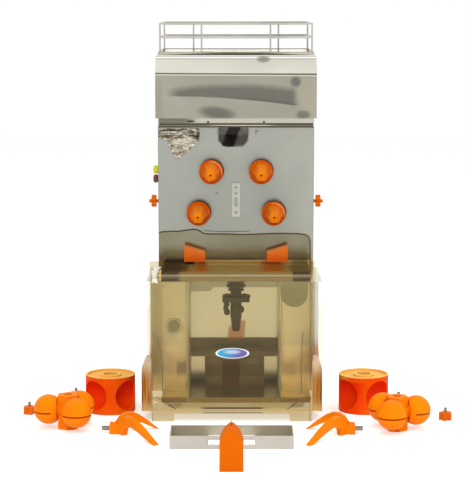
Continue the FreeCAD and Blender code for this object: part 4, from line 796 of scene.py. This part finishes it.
def traySteel():
    made, how = warmSteel("fruitTraySteel", 0.75, 0.2, "X")
    x, y, z = made.axes()
    cloud = made.noise(9.0, 2.0, 0.5, 0.8, made.squeeze((0.5, 1.0, 1.0)))
    made.ground(cloud, (178, 175, 160), (200, 197, 183))
    front = y.below(trayLook["front"], 0.0005)
    # a painted dark reflection on the front, an arc that is darkest in the middle
    arc = (z - 0.7105 + x * x * 0.16).below(0.0, 0.0008) * z.above(trayLook["foot"], 0.0006)
    made.paint(front * arc, 88, 84, 70)
    lens = front * z.between(trayLook["foot"], 0.7125, 0.0006) * x.near(0.01, 0.075, 0.05)
    made.paint(lens * 0.7, 66, 62, 50)
    # the inside painted white, with a painted glow
    inner = y.above(0.39, 0.002) * z.between(0.66, 0.7112, 0.0006) * (1 - front)
    made.paint(inner, 252, 250, 240)
    # painted shade along the back of the rim
    rear = z.above(trayLook["rim"], 0.0004) * (y + x * x * 2.2).above(trayLook["rear"], 0.003)
    made.paint(rear * 0.8, 96, 92, 76)
    # a painted white highlight along the foot of the front
    made.paint(front * z.below(0.7064, 0.0006), 232, 230, 220)
    return made.finished(glow=made.mix(inner, black, tone(168, 166, 156)), glowStrength=0.5, **how)


def strainerSteel():
    made, how = warmSteel("strainerSteel", 0.4, 0.28, "X")
    x, y, z = made.axes()
    made.ground(made.noise(8.0, 2.0, 0.5, 0.6), (182, 178, 168), (194, 190, 180))
    inner = y.above(-0.2553, 0.0006)
    made.paint(inner, 206, 196, 172)
    # painted shade inside, at the bottom and towards the back
    made.paint(inner * z.below(0.008, 0.003) * 0.5, 170, 162, 140)
    made.paint(y.above(-0.196, 0.003) * z.above(0.004, 0.002) * 0.6, 152, 146, 128)
    seen = inner * z.below(0.006, 0.001) * x.between(-0.0515, 0.0355, 0.0005)  # the slot, painted white with a painted glow to stand for the pale table seen through it
    made.paint(seen, 250, 250, 248)
    return made.finished(glow=made.mix(seen, black, tone(220, 220, 216)), glowStrength=0.6, **how)


def chuteSteel():
    made, how = warmSteel("chuteSteel", 0.6, 0.25)
    x, y, z = made.axes()
    made.ground(made.noise(26.0, 3.0, 0.6, 1.2), (112, 109, 100), (136, 132, 120), 0.08)
    # painted shade down the middle, a painted highlight across the top, and a painted glow that is weaker in the middle
    centre = (x + 0.006 - (z - 0.54) * 0.5).between(-0.016, 0.010, 0.0025)
    made.paint(centre, 44, 42, 38)
    made.paint(z.near(0.5575, 0.0022, 0.001) * x.between(-0.012, 0.012, 0.003), 224, 224, 216)
    return made.finished(glow=made.mix(centre, tone(120, 116, 106), tone(30, 29, 26)), glowStrength=0.22, **how)


tapGrey = satinPlastic("tapGrey", (66, 60, 52), (44, 40, 34), 0.35, 0.4)
sealDark = satinPlastic("sealLipDark", (58, 46, 30), (44, 34, 22), 0.5)
yellowGreen = satinPlastic("startGreen", (226, 222, 40))
darkRed = satinPlastic("stopRed", (120, 70, 70))
recessFinish = recessSteel()
leftBinFinish = binSteel("left")
studs = {"knobFrom": 0.0165, "forkLength": 0.0143, "knobOrange": (230, 104, 8), "forkOrange": (248, 130, 0)}

dress(knobFinish(), "lock_knob_upper_left", "lock_knob_upper_right", "lock_knob_lower_left", "lock_knob_lower_right")
dress(satinPlastic("orangeFront", (226, 106, 2), (220, 98, 2), 0.42, 0.05), "star_knob_left", "star_knob_right")
dress(studded("looseKnobOrange", studs["knobOrange"], lambda x, y, z: z.above(studs["knobFrom"], 0.0003)),
      "loose_knob_outer_left", "loose_knob_inner_left", "loose_knob_outer_right", "loose_knob_inner_right")
for side in ("left", "right"):
    end = outermost(f"ejector_fork_{side}") - studs["forkLength"]
    dress(studded(f"{side}ForkOrange", studs["forkOrange"], lambda x, y, z: abs(x).above(end, 0.0002)),
          f"ejector_fork_{side}")
dress(deflectorFinish(), "peel_deflector_left", "peel_deflector_right")
dress(satinPlastic("orangeWedge", (224, 103, 0), (220, 100, 0), 0.45, 0.05), "knife_wedge")
dress(drumFinish(), "cup_drum_left", "cup_drum_right")
dress(satinPlastic("orangeBall", (248, 134, 0), (244, 126, 0), 0.45, 0.07), "ball_drum_left", "ball_drum_right")
dress(satinPlastic("blackPlastic", (34, 31, 28), (22, 20, 18), 0.35),
      "power_inlet", "switch_box", "shaft_seals", "drive_motors")
dress(tapGrey, "tap_body", "tap_lever")
dress(standFinish(), "glass_stand")
dress(satinPlastic("feedWheelWhite", (228, 226, 218)), "feed_wheel")
dress(satinPlastic("footRubber", (30, 30, 30), rough=0.7), "rubber_feet")
dress(yellowGreen, "start_button")
dress(darkRed, "stop_button")
dress(polishedSteel("bodySteel", (208, 205, 194), (188, 185, 174), (146, 142, 128), 0.14),
      "housing_rear", "shelf_plate", "side_panel_left", "side_panel_right", "back_panel", "knife_blade")
dress(recessFinish, "housing_core")
dress(baseSteel(), "base_tray")
dress(ledgeSteel(), "juice_trough")
dress(traySteel(), "fruit_tray")
dress(leftBinFinish, "peel_bin_left")
dress(binSteel("right"), "peel_bin_right")
dress(strainerSteel(), "strainer_tray")
dress(hoodSteel(), "hood_shell")
dress(panelSteel(), "front_panel")
dress(headerFinish(), "header_strip")
dress(polishedSteel("plateSteel", (190, 188, 178), (170, 168, 158), (140, 136, 124), 0.25), "knife_plate")
dress(polishedSteel("basketWire", (196, 194, 186), (178, 175, 168), (148, 145, 138), 0.2),
      "basket_front", "basket_back", "basket_left", "basket_right")
dress(chuteSteel(), "chute")
dress(polishedSteel("darkSteel", (120, 118, 108), (92, 90, 84), (60, 58, 52), 0.22),
      "header_screws", "shaft_upper_left", "shaft_upper_right", "shaft_lower_left", "shaft_lower_right", "pinion")
dress(polishedSteel("gearCaseAlloy", (190, 190, 188), (165, 165, 165), (140, 140, 140), 0.35), "gear_case")
print("CAD nodes dressed")


# the cover of amber acrylic, with the lines and edges that show in it

cover = {"tint": (0.885, 0.83, 0.70, 1.0), "gloss": 0.035, "rim": 0.3, "sheen": (0.80, 0.71, 0.46, 1.0),
         "front": -0.0475, "top": 0.2850, "turn": 0.118}


def amberCover():
    made = Finish("amberAcrylic")
    x, y, z = made.axes()
    nx, ny, nz = made.facing()
    clear = made.add("ShaderNodeBsdfTransparent", values={"Color": cover["tint"]})
    front = y.below(cover["front"], 0.0004)
    # the gold lines are painted glints along the top and the foot; the brown lines are dark lines at the cover's edges
    # and bends
    gold = z.near(0.2885, 0.0016, 0.0006) * 0.5 + z.near(0.0224, 0.0022, 0.0006)
    brown = z.near(0.0266, 0.0018, 0.0005) + z.near(0.0176, 0.0016, 0.0005) * 0.8
    brown = z.near(0.2848, 0.0008, 0.0004) + brown * x.near(-0.006, 0.060, 0.006)
    slant = (z + (x + 0.1542) * 0.627).near(0.0478, 0.0011, 0.0005) * x.between(-0.156, -0.1167, 0.001)
    slant = slant + (z - (x - 0.1399) * 0.688).near(0.0519, 0.0011, 0.0005) * x.between(0.0998, 0.1415, 0.001)
    bend = (z - cover["turn"]).most(0.0)
    curves = (x + bend * 0.17).near(-0.1432, 0.0012, 0.0005) * z.between(0.058, 0.172, 0.004)
    curves = curves + (x - bend * 0.04).near(0.1272, 0.0012, 0.0005) * z.between(0.052, 0.180, 0.004)
    edges = x.near(-0.1636, 0.0010, 0.0004) + x.near(0.1446, 0.0010, 0.0004)
    low = z.between(0.0380, 0.0475, 0.002) * x.near(-0.006, 0.088, 0.004)
    sill = z.between(0.0205, 0.0375, 0.0015) * x.near(-0.0095, 0.153, 0.002)
    made.colour = cover["sheen"]
    made.paint(low, 142, 120, 68)
    made.paint(sill, 182, 162, 104)
    made.paint((brown + curves + edges + slant).least(1.0), 62, 44, 6)
    made.paint((gold * front * (1 - brown.least(1.0))).least(1.0), 186, 158, 86)
    lines = gold * 0.62
    for mask, strength in ((brown, 0.92), (curves, 0.75), (edges, 0.5), (slant, 0.7), (low, 0.42), (sill, 0.5)):
        lines = lines.most(mask * strength)
    # the top plate is painted with a brownish reflection of the panel below it
    top = z.above(cover["top"], 0.0004) * y.above(-0.0425, 0.0006)
    made.paint(top, 140, 112, 60)
    gloss = made.surface(rough=made.noise(9.0, 3.0, 0.6, 0.8) * 0.1 + 0.03, specular=0.6)
    rim = made.add("ShaderNodeLayerWeight", values={"Blend": 0.25}, out="Fresnel")
    level = top.most(abs(nz).above(0.6, 0.2) * z.below(0.1, 0.01))
    share = (rim * cover["rim"] + cover["gloss"]) * (1 - level) + lines * front + top * 0.12
    return made.blended(share, clear, gloss)


dress(amberCover(), "front_cover")


# what lies on the cover: an oval label without words, a scrap of tape and the flared feet

label = {"centre": (-0.0070, 0.1358), "half": (0.0330, 0.0105), "front": -0.0482, "steps": 64, "thick": 0.0001}


def buildLabel():
    made = Finish("labelPrint")
    x, y, z = made.axes()
    (cx, cz), (halfX, halfZ), steps = label["centre"], label["half"], label["steps"]
    across = (x - cx) * (1 / halfX)
    up = (z - cz) * (1 / halfZ)
    cloud = made.noise(60.0, 2.0, 0.5)
    blue = made.mix(across.above(-0.1, 0.7), tone(52, 168, 208), tone(104, 92, 170))
    pale = away(across, up, (0.0, 0.25), (2.2, 3.2)).below(0.45, 0.45)
    blue = made.mix(pale * 0.7, blue, tone(206, 224, 236))
    rim = made.mix(cloud.above(0.5, 0.2), tone(232, 236, 240), tone(246, 248, 248))
    made.colour = made.mix((across * across + up * up).above(0.76, 0.03), blue, rim)
    finish = made.finished(rough=cloud * 0.1 + 0.3, specular=0.3)
    ring = [(cx + halfX * dx, label["front"], cz + halfZ * dz) for dx, dz in ringPoints(1.0, steps)]
    faces = [(0, a + 1, (a + 1) % steps + 1) for a in range(steps)]
    oval = addMesh("coverLabel", [(cx, label["front"], cz), *ring], faces, "cover", finish, False)
    thicken(oval, label["thick"])


flare = {"base": {"left": -0.1765, "right": 0.1605}, "wall": {"left": -0.1642, "right": 0.1482}, "lean": 0.069,
         "leanFrom": -0.048, "out": 0.0075, "least": 0.0006, "foot": 0.020, "top": 0.118, "front": -0.046, "back": 0.020,
         "rows": 24, "roundFrom": 0.8}


def flareFinish():
    made = Finish("amberFlare")
    x, y, z = made.axes()
    bands = made.noise(2.0, 2.0, 0.6, 0.0, made.squeeze((420.0, 1.0, 5.0)))
    made.ground(bands, (140, 76, 12), (196, 140, 60), 0.1)
    made.paint(abs(x + 0.008).above(0.1745, 0.0006), 112, 60, 18)
    made.paint(z.below(0.034, 0.014) * 0.7, 214, 190, 120)
    made.paint(z.above(0.100, 0.02) * 0.7, 216, 200, 164)
    clear = made.add("ShaderNodeBsdfTransparent", values={"Color": (0.93, 0.86, 0.70, 1.0)})
    solid = made.surface(rough=0.15, specular=0.5)
    return made.blended(bands * 0.1 + 0.9, clear, solid)


def buildFlares():
    finish = flareFinish()
    rows, front, back = flare["rows"], flare["front"], flare["back"]
    for side, sign in (("left", -1), ("right", 1)):
        points, faces = [], []
        for row in range(rows + 1):
            share = row / rows
            z = flare["foot"] + (flare["top"] - flare["foot"]) * share
            bent = max(0.0, (share - flare["roundFrom"]) / (1 - flare["roundFrom"]))
            out = flare["out"] * math.sqrt(max(0.0, 1 - bent ** 2))
            for y in (front, (front + back) / 2, back):
                wall = flare["wall"][side] + sign * (y - flare["leanFrom"]) * flare["lean"]
                outer = flare["base"][side] + sign * max(flare["least"], out * (1 - (y - front) * 4))
                points += [(wall, y, z), (outer, y, z)]
        for a in range(0, rows * 6, 6):  # six points in each row, a wall and an outer one at three depths
            faces += [(a + 1, a + 3, a + 9, a + 7), (a + 3, a + 5, a + 11, a + 9)]
            faces += [(a, a + 1, a + 7, a + 6), (a + 4, a + 5, a + 11, a + 10)]
        for a in (0, rows * 6):
            faces += [(a, a + 1, a + 3, a + 2), (a + 2, a + 3, a + 5, a + 4)]
        addMesh(f"coverFlare{side.capitalize()}", points, faces, "cover", finish)


# the tape runs up the cover's front for the first half of its rows and back over the top for the rest
tape = {"left": -0.1645, "acrossStep": 0.0012, "columns": 14, "rows": 26, "turn": 12, "front": -0.0485, "foot": 0.2740,
        "top": 0.2922, "upStep": 0.0014, "backStep": 0.0070, "wave": 0.0016, "thick": 0.0002}


def buildTape():
    made = Finish("whiteTape")
    folds = made.noise(160.0, 4.0, 0.7, 1.5)
    made.ground(folds, (206, 198, 176), (250, 250, 246), 0.1, 0.52)
    finish = made.finished(rough=folds * 0.2 + 0.3, normal=made.dents(folds, 0.001, 0.6))
    points, number = [], {}
    for i in range(tape["columns"]):
        for k in range(tape["rows"]):
            x = tape["left"] + i * tape["acrossStep"]
            beyond = k - tape["turn"]
            wave = noise.noise(Vector((x * 160, 2.0, k * 0.15)))
            if (i < 2 or i > 9 + (beyond > 0) * 2) and wave < 0.1:  # the torn edges
                continue
            number[i, k] = len(points)
            x += wave * 0.0012
            if beyond > 0:
                points.append((x, tape["front"] + beyond * tape["backStep"], tape["top"] + tape["wave"] * abs(wave)))
            else:
                points.append((x, tape["front"] - tape["wave"] * abs(wave), tape["foot"] + k * tape["upStep"]))
    thicken(addMesh("coverTape", points, gridFaces(number), "cover", finish), tape["thick"])


# small round parts: the seals behind the knobs, the finger hole's rolled edge and the heads of the two push buttons

sealLips = {"offset": (0.0011, 0.0013), "front": 0.1110,
            "outline": ((0.0200, 0.0), (0.0240, 0.0002), (0.0246, 0.0008), (0.0240, 0.0014), (0.0200, 0.0016))}

gripRim = {"centre": (-0.1265, 0.1214, 0.157), "steps": 64,
           "profile": ((0.0172, 0.0), (0.0158, -0.0005), (0.0138, -0.0007), (0.0124, -0.0004), (0.0118, 0.0))}

caps = {"place": (-0.1620, 0.215), "heights": {"start": 0.469, "stop": 0.450},
        "outline": ((0.0040, -0.0092), (0.0070, -0.0084), (0.0084, -0.0062), (0.0087, -0.0035), (0.0084, -0.0012),
                    (0.0068, 0.0))}


def buildSealLips():
    (upperX, upperZ), (lowerX, lowerZ), (aside, up) = knobs["upper"], knobs["lower"], sealLips["offset"]
    for number, (x, z) in enumerate(((-upperX, upperZ), (upperX, upperZ), (-lowerX, lowerZ), (lowerX, lowerZ))):
        centre = (x + aside, sealLips["front"], z + up)
        addTurned(f"sealLip{number}", sealLips["outline"], centre, "Y", "machine", sealDark)


def buildGripRim():
    (cx, cy, cz), steps, profile = gripRim["centre"], gripRim["steps"], gripRim["profile"]
    points = [(cx + dx * r, cy + out, cz + dz * r) for dx, dz in ringPoints(1.0, steps) for r, out in profile]
    size = len(profile)
    faces = [(a * size + k, (a + 1) % steps * size + k, (a + 1) % steps * size + (k + 1) % size, a * size + (k + 1) % size)
             for a in range(steps) for k in range(size)]
    addMesh("binGripRim", points, faces, "left_bin", leftBinFinish)


def buildCaps():
    for body, finish, slotName in (("start", yellowGreen, "green"), ("stop", darkRed, "red")):
        centre = (*caps["place"], caps["heights"][body])
        addTurned(f"{body}Cap", caps["outline"], centre, "X", body, finish, 40)


buildGripRim()
buildCaps()
buildLabel()
buildFlares()
buildTape()
buildSealLips()
print("cover, label, flares, tape, seals and caps made")


# collars, catches, a sleeve and wings that give the tap its outline, and the wall beside it

tap = {"centre": (0.0, 0.055), "collars": ((0.2605, 0.0175, 0.006), (0.2520, 0.0190, 0.007), (0.2440, 0.0160, 0.004)),
       "collarForm": ((0.82, -0.5), (0.97, -0.36), (1.0, -0.15), (1.0, 0.15), (0.97, 0.36), (0.82, 0.5)),
       "catches": ((-0.0190, 0.2140, 0.0058), (-0.0205, 0.2060, 0.0052), (-0.0180, 0.1985, 0.0062),
                   (0.0095, 0.2040, 0.0070)),
       "catchForm": ((0.2, -0.008), (0.85, -0.007), (1.0, -0.004), (1.0, 0.004), (0.85, 0.007), (0.2, 0.008)),
       "sleeve": ((0.0060, 0.1605), (0.0075, 0.1610), (0.0105, 0.1860), (0.0112, 0.1900), (0.0112, 0.2180),
                  (0.0109, 0.2220)),
       "wings": (-0.0270, 0.0285), "wingCentre": (0.0, 0.042, 0.232),
       "wingForm": ((0.0030, 0.010), (0.0060, 0.012), (0.0066, 0.017), (0.0052, 0.022))}

flank = {"sides": (-0.0933, -0.0845), "heights": (0.022, 0.250), "y": 0.2106, "thick": 0.0004}


def buildTap():
    def part(name, outline, centre, along, steps=48, body="machine"):
        addTurned(name, outline, centre, along, body, tapGrey, steps)

    cx, cy = tap["centre"]
    for number, (z, radius, high) in enumerate(tap["collars"]):
        part(f"tapCollar{number}", [(radius * r, high * h) for r, h in tap["collarForm"]], (cx, cy, z), "Z")
    for number, (x, z, radius) in enumerate(tap["catches"]):
        part(f"tapCatch{number}", [(radius * r, h) for r, h in tap["catchForm"]], (cx + x, cy, z), "Y", 24)
    part("tapSleeve", tap["sleeve"], (cx, cy, 0.0), "Z")
    for number, end in enumerate(tap["wings"]):
        outline = [*tap["wingForm"], (0.0042, abs(end) - 0.001), (0.0020, abs(end))]
        if end < 0:
            outline = [(radius, -height) for radius, height in reversed(outline)]
        part(f"leverWing{number}", outline, tap["wingCentre"], "X", 24, "lever")


def buildFlank():
    (left, right), (foot, top), y = flank["sides"], flank["heights"], flank["y"]
    points = [(left, y, foot), (right, y, foot), (right, y, top), (left, y, top)]
    sheet = addMesh("recessFlank", points, [(0, 1, 2, 3)], "machine", recessFinish, False)
    thicken(sheet, flank["thick"])


buildTap()
buildFlank()
print("tap finished")
